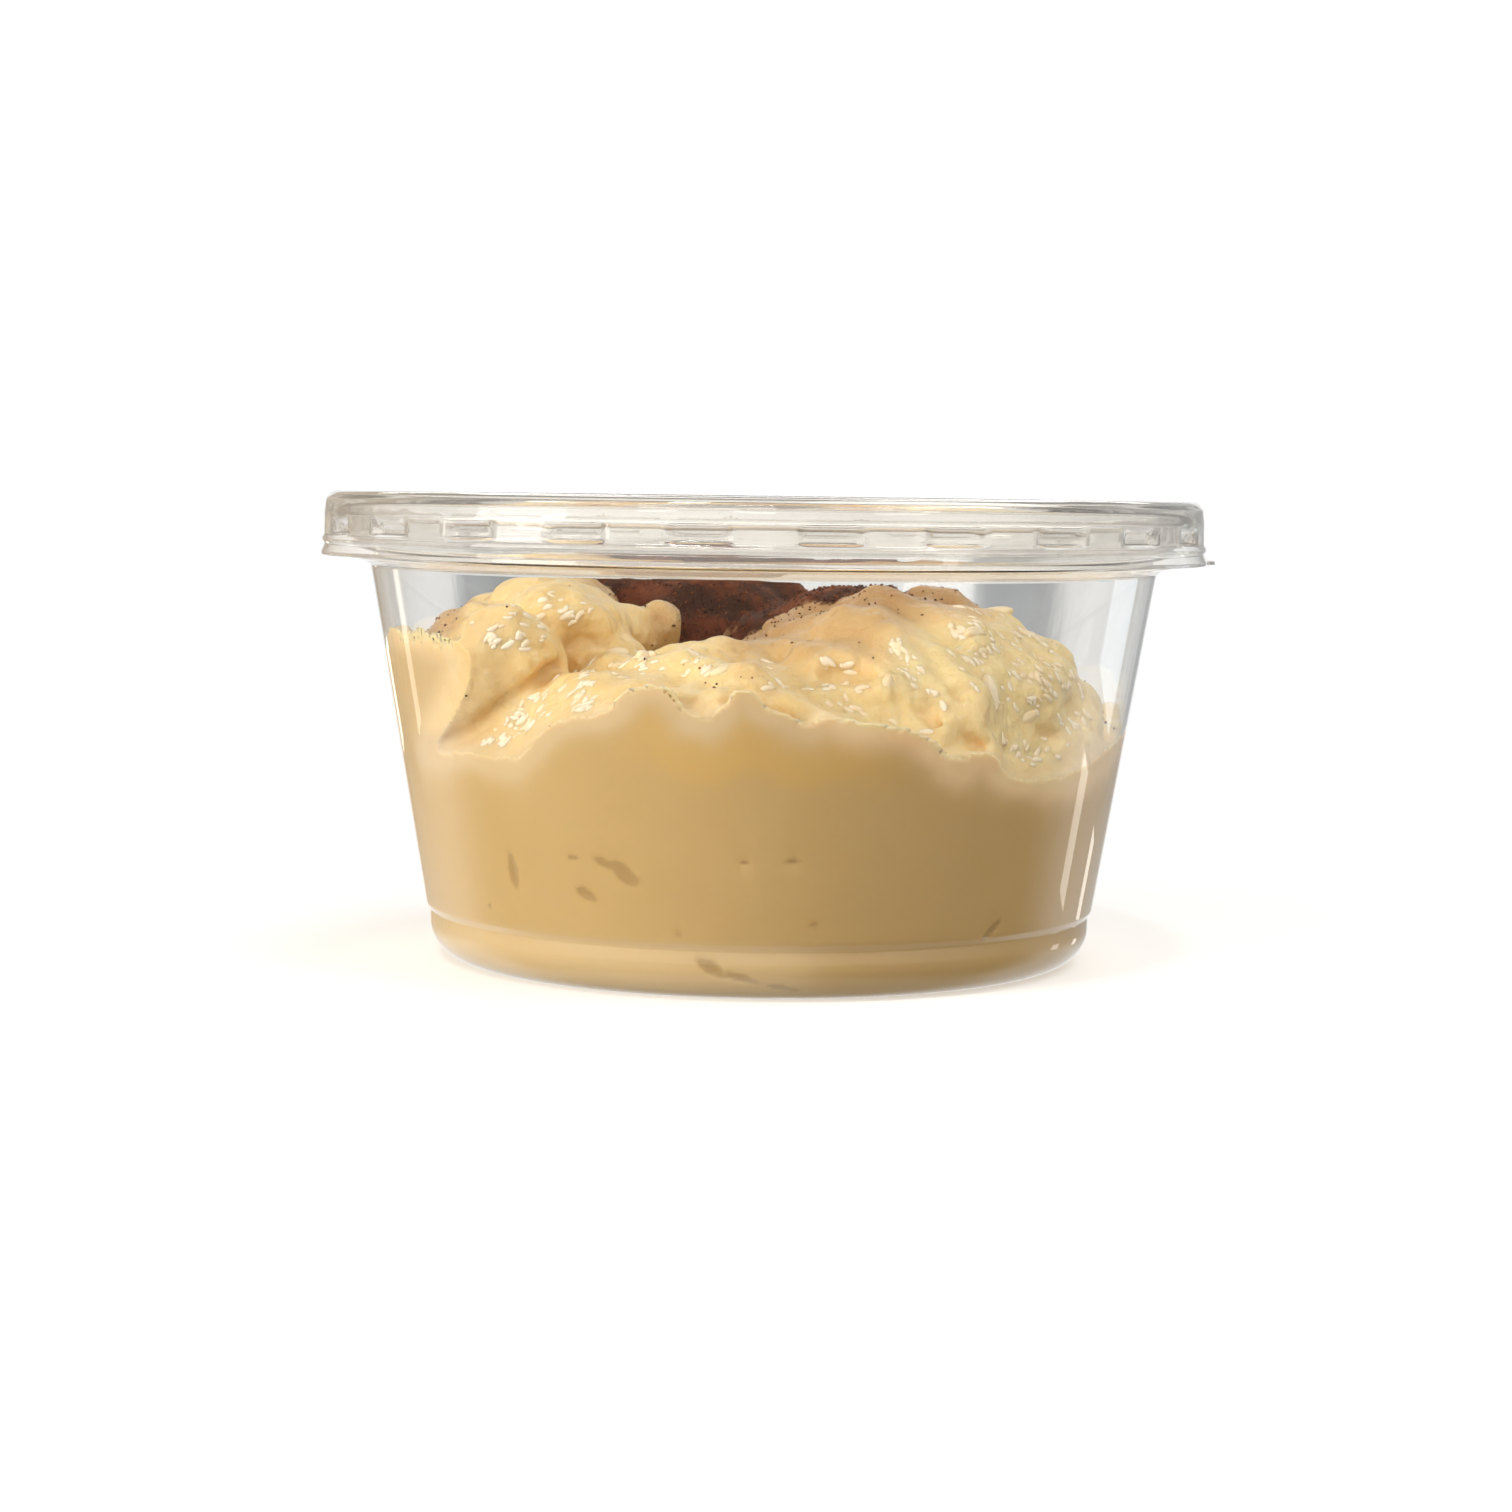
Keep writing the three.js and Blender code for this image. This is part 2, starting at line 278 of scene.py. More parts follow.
# middle x, y; half-widths to -X, +X, -Y, +Y; height of the fattest level; top; squareness in plan; half-height below that level; squareness upright
MOUNDS = {
    "left_scoop": (-27, -8, 14.8, 8, 19.5, 27, 44.2, 49.3, 2, 3.2, 1.35),
    "left_nose": (-26.5, -11, 7, 6.3, 13, 16, 44.2, 49.5, 3, 3.2, 2.6),
    "left_press": (-38, -8, 15, 14, 27, 28, 26, 44.0, 2.6, 40, 2.4),
    "under_left": (-25.5, -35.5, 11.6, 11.0, 11.0, 9.0, 29, 43.2, 2, 14, 4),
    "left_sill": (-35, -32, 14, 12, 12, 7, 20, 29.8, 2, 40, 2),
    "front_ridge": (-9, -30, 28, 27, 26, 9, 22, 41.4, 2, 40, 2),
    "ridge_back": (-6, -18, 12, 16, 12, 12, 22, 40.4, 2, 40, 2),
    "front_foot": (6, -46, 18, 22, 20, 20, 20, 35.0, 2, 40, 2),
    "right_dome": (15, -7, 25, 30.3, 34, 30, 27, 49.6, 2, 40, 2),
    "back_mound": (-10, 20, 33, 27, 21, 28, 25, 51.0, 3, 40, 2),
    "back_right": (24, 30, 26, 24, 24, 24, 22, 40.5, 2, 40, 2),
}
BLEND = 1.0
INTO_WALL = 0.08

# the cup's inner wall: radius at a height, and the raised base
IN_PROFILE = rounded(CUP_IN)
_side = IN_PROFILE[(IN_PROFILE[:, 0] > 39.8) & (IN_PROFILE[:, 1] < 57)][::-1]
_base = IN_PROFILE[(IN_PROFILE[:, 1] < 1.6) & (IN_PROFILE[:, 0] < 39.9)][::-1]


def wall_r(z):
    return np.interp(z, _side[:, 1], _side[:, 0])


def base_z(r):
    return np.interp(r, _base[:, 0], _base[:, 1])


def lumps(x, y):
    return 0.45 * (np.sin(0.43 * x + 0.9) * np.cos(0.37 * y - 0.4) + 0.7 * np.sin(0.71 * y + 0.5 * x) + 0.5 * np.cos(0.95 * x - 0.62 * y + 1.3))


def mound_distance(x, y, z, m):
    mx, my, l, r, f, b, low, top, flat, under, tall = m
    a = np.where(x < mx, l, r)
    c = np.where(y < my, f, b)
    h = np.where(z > low, top - low, under)
    u, v, w = (x - mx) / a, (y - my) / c, (z - low) / h
    q = u * u + v * v + 1e-6
    aw = np.abs(w) + 1e-6
    big = q ** (flat / 2) + aw**tall
    gq = flat * q ** (flat / 2 - 1)
    grad = np.sqrt((gq * u / a) ** 2 + (gq * v / c) ** 2 + (tall * aw ** (tall - 1) / h) ** 2) + 1e-4
    return np.clip((big - 1) / grad, -9, 9)


def soft_min(a, b, k):
    h = np.maximum(0, 1 - np.abs(a - b) / (2 * k))
    return np.minimum(a, b) - h * h * k * 0.5


def heap(x, y, z):
    """Rough distance to the free surface of the heap, in mm; negative inside."""
    # the mounds lean and bulge a little, so that none is a true ellipsoid
    wx = x + 0.9 * np.sin(0.21 * y + 0.17 * z + 0.6) + 0.5 * np.sin(0.47 * y - 0.31 * x + 0.4 * z + 2.0)
    wy = y + 0.8 * np.sin(0.23 * x - 0.19 * z + 1.9) + 0.5 * np.sin(0.41 * x + 0.37 * z + 0.3 * y)
    wz = z - lumps(x, y) + 0.35 * np.sin(0.33 * x + 0.52 * y + 0.4)
    d = (wz - FILL_Z - FILL_RISE * (y - FILL_Y)) * 0.99
    # the scoop at the left overhangs a hollow
    left = 9.0
    for name in ("left_scoop", "left_nose", "left_press"):
        left = soft_min(left, mound_distance(wx, wy, wz, MOUNDS[name]), BLEND)
    d = soft_min(d, -soft_min(-left, mound_distance(wx, wy, wz - 0.12 * (x + 32), MOUNDS["under_left"]), 0.8), BLEND)
    for name, m in MOUNDS.items():
        if name not in ("left_scoop", "left_nose", "left_press", "under_left"):
            d = soft_min(d, mound_distance(wx, wy, wz, m), BLEND)
    return d


H = 0.56
gx = np.arange(-50.4, 50.4 + H, H)
gz = np.arange(-0.2, 54.5, H)
GRID = (len(gx), len(gx), len(gz))
ORIGIN = np.array((gx[0], gx[0], gz[0]))
X = gx[:, None, None].astype(np.float32)
Y = gx[None, :, None].astype(np.float32)
Z = gz[None, None, :].astype(np.float32)
k0 = int(np.searchsorted(gz, 22.0))  # nothing but pudding below this level
free = np.full(GRID, -9.0, np.float32)
free[:, :, k0:] = heap(X, Y, Z[:, :, k0:])


def sample(field, p):
    """Field values at points p (n x 3, mm), linear between the grid's nodes."""
    q = (np.asarray(p) - ORIGIN) / H
    q = np.clip(q, 0, np.array(GRID) - 1.001)
    i = np.floor(q).astype(int)
    f = q - i
    out = 0
    for dx in (0, 1):
        for dy in (0, 1):
            for dz in (0, 1):
                w = (f[:, 0] if dx else 1 - f[:, 0]) * (f[:, 1] if dy else 1 - f[:, 1]) * (f[:, 2] if dz else 1 - f[:, 2])
                out = out + w * field[i[:, 0] + dx, i[:, 1] + dy, i[:, 2] + dz]
    return out


def gradient(field, p, e=0.5):
    g = np.stack([sample(field, p + np.eye(3)[a] * e) - sample(field, p - np.eye(3)[a] * e) for a in range(3)], 1)
    return g / (np.linalg.norm(g, axis=1, keepdims=True) + 1e-9)


def seen_point(px, py, field):
    """Where the line of sight through a frame point meets the pudding, in mm: its free surface, or the wall it is pressed to."""
    o, d = ray(px, py)
    t = np.arange(360, 500, 0.12)
    p = o + d * t[:, None]
    inside = np.hypot(p[:, 0], p[:, 1]) < wall_r(p[:, 2])
    hit = inside & (sample(field, p) < 0)
    if not hit.any():
        return None
    return p[np.argmax(hit)]


# ------------------------------------------------------------------ where the cream touches the wall in front
# the upper edge of the cream on the wall, as frame points from left to right
TOUCH = (
    (372, 630), (400, 627), (422, 626), (440, 631), (455, 638), (466, 646), (472, 658), (472, 672), (467, 690), (459, 708), (450, 726), (441, 741), (437, 749), (443, 752), (458, 751), (473, 752), (496, 757), (516, 758), (527, 752),
    (534, 741), (545, 730), (556, 722), (567, 717), (585, 716), (602, 713), (611, 706), (617, 695), (624, 689), (633, 685), (643, 682), (652, 681), (660, 682), (667, 684), (674, 689), (680, 696), (684, 705), (688, 712), (694, 716),
    (705, 718), (714, 714), (719, 709), (724, 701), (728, 693), (733, 689), (740, 687), (748, 687), (754, 690), (760, 696), (765, 703), (772, 707), (786, 710), (797, 718), (809, 722), (822, 717), (835, 716), (850, 718), (868, 721),
    (885, 723), (905, 724), (918, 729), (928, 736), (936, 742), (945, 749), (954, 757), (962, 760), (968, 757), (972, 751), (979, 748), (987, 749), (994, 755), (998, 764), (1004, 771), (1014, 777), (1024, 780), (1041, 780), (1058, 777),
    (1075, 771), (1092, 760), (1108, 746), (1121, 733), (1150, 726),
)


def outline_distance(points, px, py):
    """Distance in px from points of the frame to a closed outline, negative inside it."""
    a = np.array(points, float)
    b = np.roll(a, -1, 0)
    best = np.full(px.shape, 1e9)
    inside = np.zeros(px.shape, bool)
    for (x0, y0), (x1, y1) in zip(a, b):
        ex, ey = x1 - x0, y1 - y0
        t = np.clip(((px - x0) * ex + (py - y0) * ey) / (ex * ex + ey * ey + 1e-9), 0, 1)
        best = np.minimum(best, np.hypot(px - x0 - t * ex, py - y0 - t * ey))
        if y0 != y1:
            cross = (y0 > py) != (y1 > py)
            inside ^= cross & (px < (x1 - x0) * (py - y0) / (y1 - y0) + x0)
    return np.where(inside, -best, best)


def to_frame(p):
    """Frame point of each point p (n x 3, mm), and px in a mm there."""
    right, up, fwd = (np.array(v) for v in camera_axes())
    q = p - np.array((0, CAM_Y, CAM_Z))
    depth = q @ fwd
    return 756 + FOCAL_PX * (q @ right) / depth, 756 - FOCAL_PX * (q @ up) / depth, FOCAL_PX / depth


_tx, _ty = np.arange(360, 1164, 2.0), np.arange(540, 960, 2.0)
TOUCH_MAP = outline_distance(TOUCH + ((1150, 1300), (372, 1300)), *np.meshgrid(_tx, _ty, indexing="ij"))


def touch_distance(x, y, z):
    """Signed distance in mm, along the wall, from the upper edge of the cream on the wall; and how far that edge counts at this azimuth."""
    az = np.arctan2(x, -y)
    wr = wall_r(z)
    u, v, s = to_frame(np.stack([wr * np.sin(az), -wr * np.cos(az), z], 1))
    i = np.clip((u - 360) / 2, 0, len(_tx) - 1.001)
    j = np.clip((v - 540) / 2, 0, len(_ty) - 1.001)
    i0, j0 = i.astype(int), j.astype(int)
    fi, fj = i - i0, j - j0
    d = TOUCH_MAP[i0, j0] * (1 - fi) * (1 - fj) + TOUCH_MAP[i0 + 1, j0] * fi * (1 - fj) + TOUCH_MAP[i0, j0 + 1] * (1 - fi) * fj + TOUCH_MAP[i0 + 1, j0 + 1] * fi * fj
    return d / s, smoothstep(math.radians(76), math.radians(66), np.abs(az))


def shape_to_wall(field, bulge, loose=0.0):
    """Holds the field, near the wall, between two rounded limits that both start at TOUCH, so that the cream's edge on the wall runs along it."""
    part = field[:, :, k0:]
    rr = np.sqrt(X**2 + Y**2)
    depth = wall_r(gz[k0:])[None, None, :] - rr
    i, j, k = np.nonzero((depth < 8) & (depth > -2.5) & (Y < -4))
    x, y, z = gx[i], gx[j], gz[k0 + k]
    d, use = touch_distance(x, y, z)
    dp = np.maximum(depth[i, j, k] - 0.3, 0)
    bulge = bulge * (1 + 2.2 * smoothstep(-46, -54, np.degrees(np.arctan2(x, -y))) * smoothstep(34, 38, z))
    room = np.sqrt(2 * bulge * dp + 0.6) - math.sqrt(0.6) + loose * (1 - np.exp(-dp / 0.6)) + 1.2 * np.maximum(dp - 2.5, 0)
    f = part[i, j, k]
    held = -soft_min(-f, -(d - room), 0.5)
    held = soft_min(held, d + room, 0.5)
    part[i, j, k] = f * (1 - use) + held * use


# ------------------------------------------------------------------ rice in the cream
rng = np.random.default_rng(5193)


def surface_points(field, count, keep=None):
    """Random points near the free surface, even over its area."""
    s = field
    near = (np.abs(s) < H * 0.55)
    i, j, k = np.nonzero(near)
    p = np.stack([gx[i], gx[j], gz[k]], 1)
    ok = (np.hypot(p[:, 0], p[:, 1]) < wall_r(p[:, 2]) - 0.6) & (p[:, 2] > 23)
    p = p[ok]
    p = p[rng.permutation(len(p))[: count * 4]]
    p = p + rng.uniform(-0.5, 0.5, p.shape) * H
    g = gradient(field, p)
    p = p - g * sample(field, p)[:, None]
    if keep is not None:
        w = keep(p)
        ok = rng.random(len(p)) < w
        p, g = p[ok], g[ok]
    return p[:count], g[:count]


def smoothness(p):
    """1 where the cream lies smooth over the rice, 0 where the grains stand out."""
    n = fbm(p, 13, 41, 2)
    s = smoothstep(-0.3, 0.3, n)
    x, y, z = p.T
    grainy = np.exp(-(((x + 14) / 16) ** 2 + ((y + 29) / 8) ** 2))  # crest of the front ridge
    grainy += 0.9 * np.exp(-(((x + 36) / 8) ** 2 + ((y + 12) / 14) ** 2 + ((z - 48) / 4) ** 2))  # upper left of the left scoop
    grainy += 0.9 * np.exp(-(((x - 36) / 10) ** 2 + ((y + 20) / 13) ** 2))  # right flank of the dome
    smooth = 0.8 * np.exp(-(((x - 10) / 9) ** 2 + ((y + 18) / 10) ** 2))
    smooth += 1.0 * np.exp(-(((x + 30) / 9) ** 2 + ((y + 21) / 4) ** 2 + ((z - 38) / 5) ** 2))  # hollow face of the left scoop
    smooth += 0.7 * np.exp(-(((x + 21) / 5) ** 2 + ((y + 14) / 8) ** 2 + ((z - 47) / 4) ** 2))  # its nose
    return np.clip(s + smooth - grainy, 0, 1)


def add_capsule(field, c, t, half, r, k, carve=False):
    reach = half + r + k + 1.0
    lo = np.maximum(np.floor((c - reach - ORIGIN) / H).astype(int), 0)
    hi = np.minimum(np.ceil((c + reach - ORIGIN) / H).astype(int) + 1, GRID)
    if (hi <= lo).any():
        return
    sl = tuple(slice(a, b) for a, b in zip(lo, hi))
    x = X[sl[0]] - c[0]
    y = Y[:, sl[1]] - c[1]
    z = Z[:, :, sl[2]] - c[2]
    along = np.clip(x * t[0] + y * t[1] + z * t[2], -half, half)
    # thicker in the middle than at the ends, as a grain is
    rr = r * (1 - 0.22 * (along / half) ** 2)
    d = np.sqrt((x - along * t[0]) ** 2 + (y - along * t[1]) ** 2 + (z - along * t[2]) ** 2) - rr
    if carve:
        field[sl] = -soft_min(-field[sl], d, k)
    else:
        field[sl] = soft_min(field[sl], d, k)


def tangent(n, spread=0.25):
    v = rng.normal(size=3)
    v = v - n * (v @ n)
    v /= np.linalg.norm(v)
    v = v + n * rng.normal() * spread
    return v / np.linalg.norm(v)


def stroke(field, points, r, lift, k=0.8, carve=False):
    """A fold or groove along the surface, through frame points; its middle stands lift mm over the surface."""
    hits = [seen_point(px, py, free) for px, py in points]
    hits = [h for h in hits if h is not None]
    if len(hits) < 2:
        return
    hits = np.array(hits)
    hits = hits + gradient(free, hits) * lift
    for p, q in zip(hits[:-1], hits[1:]):
        d = q - p
        n = np.linalg.norm(d)
        if 0.2 < n < 14:
            add_capsule(field, (p + q) / 2, d / n, n / 2, r, k, carve)


def wall_point(px, py):
    o, d = ray(px, py)
    t = np.arange(360, 430, 0.05)
    q = o + d * t[:, None]
    return q[np.argmax(np.hypot(q[:, 0], q[:, 1]) < wall_r(q[:, 2]))]


body = free.copy()

# lumps of 4 to 9 mm that the spoon left
pl, nl = surface_points(free, 110)
for p, n in zip(pl, nl):
    r = rng.uniform(1.8, 3.6)
    sink = rng.uniform(0.82, 1.1)
    if p[0] > -2 and p[1] < 8 and p[2] > 42:  # the dome is smooth on top
        sink = 0.5 * sink + 0.58
    t, half = tangent(n), rng.uniform(0.5, 3.0)
    if sample(free, (p + n * 3)[None])[0] > 1.6:  # none in the deep creases
        add_capsule(body, p - n * (r * sink), t, half, r, 1.6)
for p, n in zip(pl[:34], nl[:34]):
    t = tangent(n)
    add_capsule(body, p + n * 1.6 + t * 3, t, rng.uniform(1.0, 3.5), 1.3, 1.2, True)
# the crest of the ridge in front, the rounded nose of the left scoop, and the hollow under it
add_capsule(body, np.array((-7.5, -26.5, 40.4)), np.array((1.0, 0.1, 0.03)), 4.0, 2.3, 2.2)
add_capsule(body, np.array((-24.8, -20.6, 46.0)), np.array((0.93, 0.33, -0.14)), 2.2, 2.9, 1.6)
# lumps between the scoop and the cinnamon
add_capsule(body, np.array((-17.8, -12.0, 43.4)), np.array((0.1, 0.2, 0.97)), 2.2, 2.5, 1.6)
add_capsule(body, np.array((-13.7, -8.5, 43.8)), np.array((0.1, 0.2, 0.97)), 2.2, 2.1, 1.4)
# what lies under the nose, and the gentle slope at which the cream leaves the wall beside the hollow
add_capsule(body, np.array((-21.5, -22.0, 39.6)), np.array((0.97, 0.2, 0.1)), 3.2, 3.2, 2.4)
for px, py, deep, r in ((480, 664, 6.0, 4.4), (474, 694, 6.4, 4.6), (458, 726, 5.6, 3.8), (474, 648, 3.6, 2.9), (473, 672, 3.6, 2.9), (465, 698, 3.6, 2.9), (452, 724, 3.4, 2.7)):
    c = wall_point(px, py)
    c = c - np.array((c[0], c[1], 0)) / np.hypot(c[0], c[1]) * deep
    add_capsule(body, c, np.array((-0.15, 0.0, 0.99)), 1.6, r, 2.4)
shape_to_wall(body, 2.4)
free = body.copy()

pts, nor = surface_points(free, 800)
sm = smoothness(pts)
for p, n, s in zip(pts, nor, sm):
    r = rng.uniform(0.9, 1.3)
    half = rng.uniform(1.5, 2.5)
    sink = r * (0.62 + 0.80 * s + rng.uniform(-0.25, 0.25))
    t = tangent(n, 0.12)
    if sample(free, (p + n * 3)[None])[0] > 1.2:
        add_capsule(body, p - n * sink, t, half, r, 0.95)
# little curds where the grains show end on
pts2, nor2 = surface_points(free, 900, lambda q: 1 - 0.9 * smoothness(q))
for p, n in zip(pts2, nor2):
    r = rng.uniform(0.5, 1.1)
    add_capsule(body, p - n * r * rng.uniform(0.3, 0.9), tangent(n), rng.uniform(0.2, 0.7), r, 0.6)

# folds and hollows that the frame shows
stroke(body, ((893, 632), (900, 650), (915, 668), (930, 690), (944, 705)), 0.9, 0.3)  # sharp fold down the dome
stroke(body, ((884, 640), (880, 655), (884, 668), (878, 684)), 0.8, 0.0)
stroke(body, ((950, 712), (944, 728), (938, 742)), 0.9, 0.0)
stroke(body, ((812, 676), (818, 664), (834, 658), (852, 661), (872, 666)), 0.7, 0.1)  # rims of the long dimple
stroke(body, ((832, 692), (862, 696), (884, 692), (895, 680)), 0.65, 0.05)
stroke(body, ((828, 679), (845, 677), (870, 679)), 1.25, 0.55, 0.6, True)
stroke(body, ((540, 600), (548, 611), (552, 622)), 1.5, -0.2)
stroke(body, ((560, 622), (577, 616), (592, 618), (600, 630)), 1.6, 0.0)
stroke(body, ((498, 600), (512, 590), (530, 588)), 1.8, -0.5)
stroke(body, ((1045, 762), (1058, 748), (1072, 738)), 0.9, 0.0)
stroke(body, ((1056, 774), (1070, 764)), 0.8, 0.0)
stroke(body, ((1043, 680), (1052, 686), (1064, 690)), 1.7, -0.8, 1.2)  # fills a pit beside the grains on the dome
stroke(body, ((962, 762), (974, 768), (988, 765), (994, 755)), 1.2, 0.3)
stroke(body, ((905, 742), (918, 750), (930, 745)), 1.0, 0.2)
stroke(body, ((446, 742), (462, 738), (480, 726), (502, 706), (530, 688), (556, 664)), 1.1, 0.3, 0.6, True)  # crease behind the ridge
stroke(body, ((920, 712), (930, 722), (944, 732)), 0.65, 0.1, 0.5, True)
stroke(body, ((964, 742), (978, 746)), 0.8, 0.4, 0.5, True)
stroke(body, ((1036, 730), (1052, 736)), 0.8, 0.3, 0.5, True)

shape_to_wall(body, 2.4, 0.8)
# lobes of cream all round the rest of the wall
for a in np.arange(-180, 180, 5.5):
    if -68 < a < 68:
        continue
    ang = math.radians(a + rng.uniform(-2, 2))
    s, c = math.sin(ang), -math.cos(ang)
    zz = gz[k0:]
    col = np.stack([(wall_r(zz) - 0.4) * s, (wall_r(zz) - 0.4) * c, zz], 1)
    v = sample(body, col)
    z0 = zz[np.argmax(v > 0)] if (v > 0).any() else 40
    r = rng.uniform(1.0, 2.3)
    add_capsule(body, np.array(((wall_r(z0) - r * 0.5) * s, (wall_r(z0) - r * 0.5) * c, z0 - r * rng.uniform(0.2, 0.9))), np.array((c, -s, 0.0)), rng.uniform(0.3, 2.0), r, 0.8)

# ------------------------------------------------------------------ cut to the cup and meshed
rad = np.sqrt(X**2 + Y**2)
wall_field = (rad - (wall_r(gz)[None, None, :] + INTO_WALL)) * 0.985
base_field = (base_z(np.minimum(rad, 39.8)) - INTO_WALL * 0.6) - Z
solid = np.maximum(np.maximum(body, wall_field), base_field).astype(np.float32)

# small gaps of air between the cream and the wall: frame point, half-width, half-height in mm, turn in degrees, depth
GAPS = (
    (515, 870, 0.85, 2.4, 5, 0.45), (588, 894, 1.7, 0.7, -26, 0.4), (574, 857, 0.9, 0.4, -10, 0.3), (604, 862, 1.5, 0.6, -24, 0.35), (625, 873, 2.3, 1.0, -38, 0.5), (745, 862, 0.8, 0.28, 0, 0.3),
    (793, 861, 0.9, 0.35, 12, 0.3), (990, 929, 1.9, 0.55, 42, 0.45), (712, 968, 2.0, 0.8, -30, 0.5), (740, 977, 2.6, 0.45, -14, 0.45), (780, 986, 2.2, 0.3, -12, 0.3), (678, 932, 0.6, 0.4, 0, 0.25), (815, 925, 0.7, 0.35, 0, 0.25), (492, 905, 0.5, 0.4, 0, 0.25),
)


def surface_nets(f):
    """Corners and quads of the surface where f is 0, one corner in each cell that the surface crosses."""
    inside = f < 0
    n0, n1, n2 = f.shape
    c = inside[:-1, :-1, :-1].astype(np.int8)
    total = np.zeros_like(c)
    for dx in (0, 1):
        for dy in (0, 1):
            for dz in (0, 1):
                total += inside[dx : n0 - 1 + dx, dy : n1 - 1 + dy, dz : n2 - 1 + dz]
    active = (total > 0) & (total < 8)
    idx = -np.ones(active.shape, np.int64)
    cells = np.argwhere(active)
    idx[active] = np.arange(len(cells))
    acc = np.zeros((len(cells), 3))
    cnt = np.zeros(len(cells))
    corners = [(dx, dy, dz) for dx in (0, 1) for dy in (0, 1) for dz in (0, 1)]
    val = {k: f[cells[:, 0] + k[0], cells[:, 1] + k[1], cells[:, 2] + k[2]].astype(np.float64) for k in corners}
    for a in corners:
        for axis in range(3):
            if a[axis]:
                continue
            b = list(a)
            b[axis] = 1
            va, vb = val[a], val[tuple(b)]
            cross = (va < 0) != (vb < 0)
            t = np.where(cross, va / np.where(cross, va - vb, 1), 0)
            pos = np.tile(np.array(a, float), (len(cells), 1))
            pos[:, axis] = t
            acc += pos * cross[:, None]
            cnt += cross
    verts = ORIGIN + (cells + acc / cnt[:, None]) * H
    quads = []
    for axis in range(3):
        b, c2 = [(1, 2), (2, 0), (0, 1)][axis]
        sl0 = [slice(None)] * 3
        sl1 = [slice(None)] * 3
        sl0[axis], sl1[axis] = slice(0, -1), slice(1, None)
        s0, s1 = inside[tuple(sl0)], inside[tuple(sl1)]
        e = np.argwhere(s0 != s1)
        ok = (e[:, b] > 0) & (e[:, c2] > 0) & (e[:, b] < f.shape[b] - 1) & (e[:, c2] < f.shape[c2] - 1)
        e = e[ok]
        flip = ~s0[e[:, 0], e[:, 1], e[:, 2]]
        ring = []
        for db, dc in ((0, 0), (-1, 0), (-1, -1), (0, -1)):
            q = e.copy()
            q[:, b] += db
            q[:, c2] += dc
            ring.append(idx[q[:, 0], q[:, 1], q[:, 2]])
        quad = np.stack(ring, 1)
        quad[flip] = quad[flip][:, ::-1]
        quads.append(quad)
    return verts, np.concatenate(quads)


V, Q = surface_nets(solid)


def neighbours_mean(v, q, rounds, mask=None, amount=0.5):
    """Laplacian smoothing of the corners in mask."""
    a = np.concatenate([q[:, i] for i in range(4)])
    b = np.concatenate([q[:, (i + 1) % 4] for i in range(4)])
    for _ in range(rounds):
        s = np.zeros_like(v)
        for ax in range(3):
            s[:, ax] = np.bincount(a, v[b, ax], len(v)) + np.bincount(b, v[a, ax], len(v))
        n = np.bincount(a, minlength=len(v)) + np.bincount(b, minlength=len(v))
        m = s / n[:, None]
        w = amount if mask is None else amount * mask[:, None]
        v = v + (m - v) * w
    return v


def on_wall(v):
    """How surely a corner lies on the cup: 1 on the side, 2 on the base."""
    r = np.hypot(v[:, 0], v[:, 1])
    side = np.abs(r - wall_r(v[:, 2]) - INTO_WALL) < 0.42 * H
    low = (v[:, 2] - base_z(np.minimum(r, 39.8)) < 0.5 * H) & (r < 39.9)
    return side, low


side, low = on_wall(V)
freev = ~(side | low)
V = neighbours_mean(V, Q, 1, freev.astype(float), 0.45)
near_edge = smoothstep(2.0, 0.8, wall_r(V[:, 2]) - np.hypot(V[:, 0], V[:, 1])) * freev
_d, _use = touch_distance(*V.T)
near_edge = np.maximum(near_edge, side * (V[:, 1] < 0) * smoothstep(2.2, 0.8, np.abs(_d)))
V = neighbours_mean(V, Q, 5, near_edge, 0.5)
r = np.hypot(V[:, 0], V[:, 1])
k = (wall_r(V[:, 2]) + INTO_WALL) / np.maximum(r, 1e-6)
V[side, 0] *= k[side]
V[side, 1] *= k[side]

# cream film and fine relief on the free surface
G = gradient(body, V)
relief = 0.12 * fbm(V, 2.2, 7, 2) + 0.06 * fbm(V, 0.95, 9, 1)
V[freev] += G[freev] * relief[freev, None]

# air gaps at the wall push the cream in, and the wall there is painted darker as painted shade
gap = np.zeros(len(V))
gap_shade = np.zeros(len(V))
for px, py, hw, hh, turn, depth in GAPS:
    c = wall_point(px, py)
    ang0 = math.atan2(c[0], -c[1])
    du = (np.arctan2(V[:, 0], -V[:, 1]) - ang0) * np.hypot(c[0], c[1])
    dv = V[:, 2] - c[2]
    t = math.radians(turn)
    a, b = du * math.cos(t) + dv * math.sin(t), -du * math.sin(t) + dv * math.cos(t)
    g = np.clip(1.25 - np.sqrt((a / hw) ** 2 + (b / hh) ** 2), 0, 1) * (V[:, 1] < 0)
    gap = np.maximum(gap, g * depth * 0.6)
    n = 0.35 * noise3(V * (1, 1, 1.3), 1.1, 33)
    gap_shade = np.maximum(gap_shade, smoothstep(1.35, 0.55, np.sqrt((a / hw) ** 2 + (b / hh) ** 2) + n) * (V[:, 1] < 0) * side)
rn = np.hypot(V[:, 0], V[:, 1])
V[side, 0] -= (V[:, 0] / np.maximum(rn, 1e-6) * gap)[side]
V[side, 1] -= (V[:, 1] / np.maximum(rn, 1e-6) * gap)[side]

# ------------------------------------------------------------------ what the surface is like, corner by corner
# outline, from above, of where the cinnamon lies thick
CINNAMON = ((-19, 5), (-15.5, -1), (-10, 0), (-5, -1), (-3, -8), (2.5, -11.5), (7, -13.5), (12, -14.5), (18, -11), (21, -2), (21, 10), (18, 22), (10, 30), (-2, 33), (-14, 31), (-21, 23), (-23, 12))


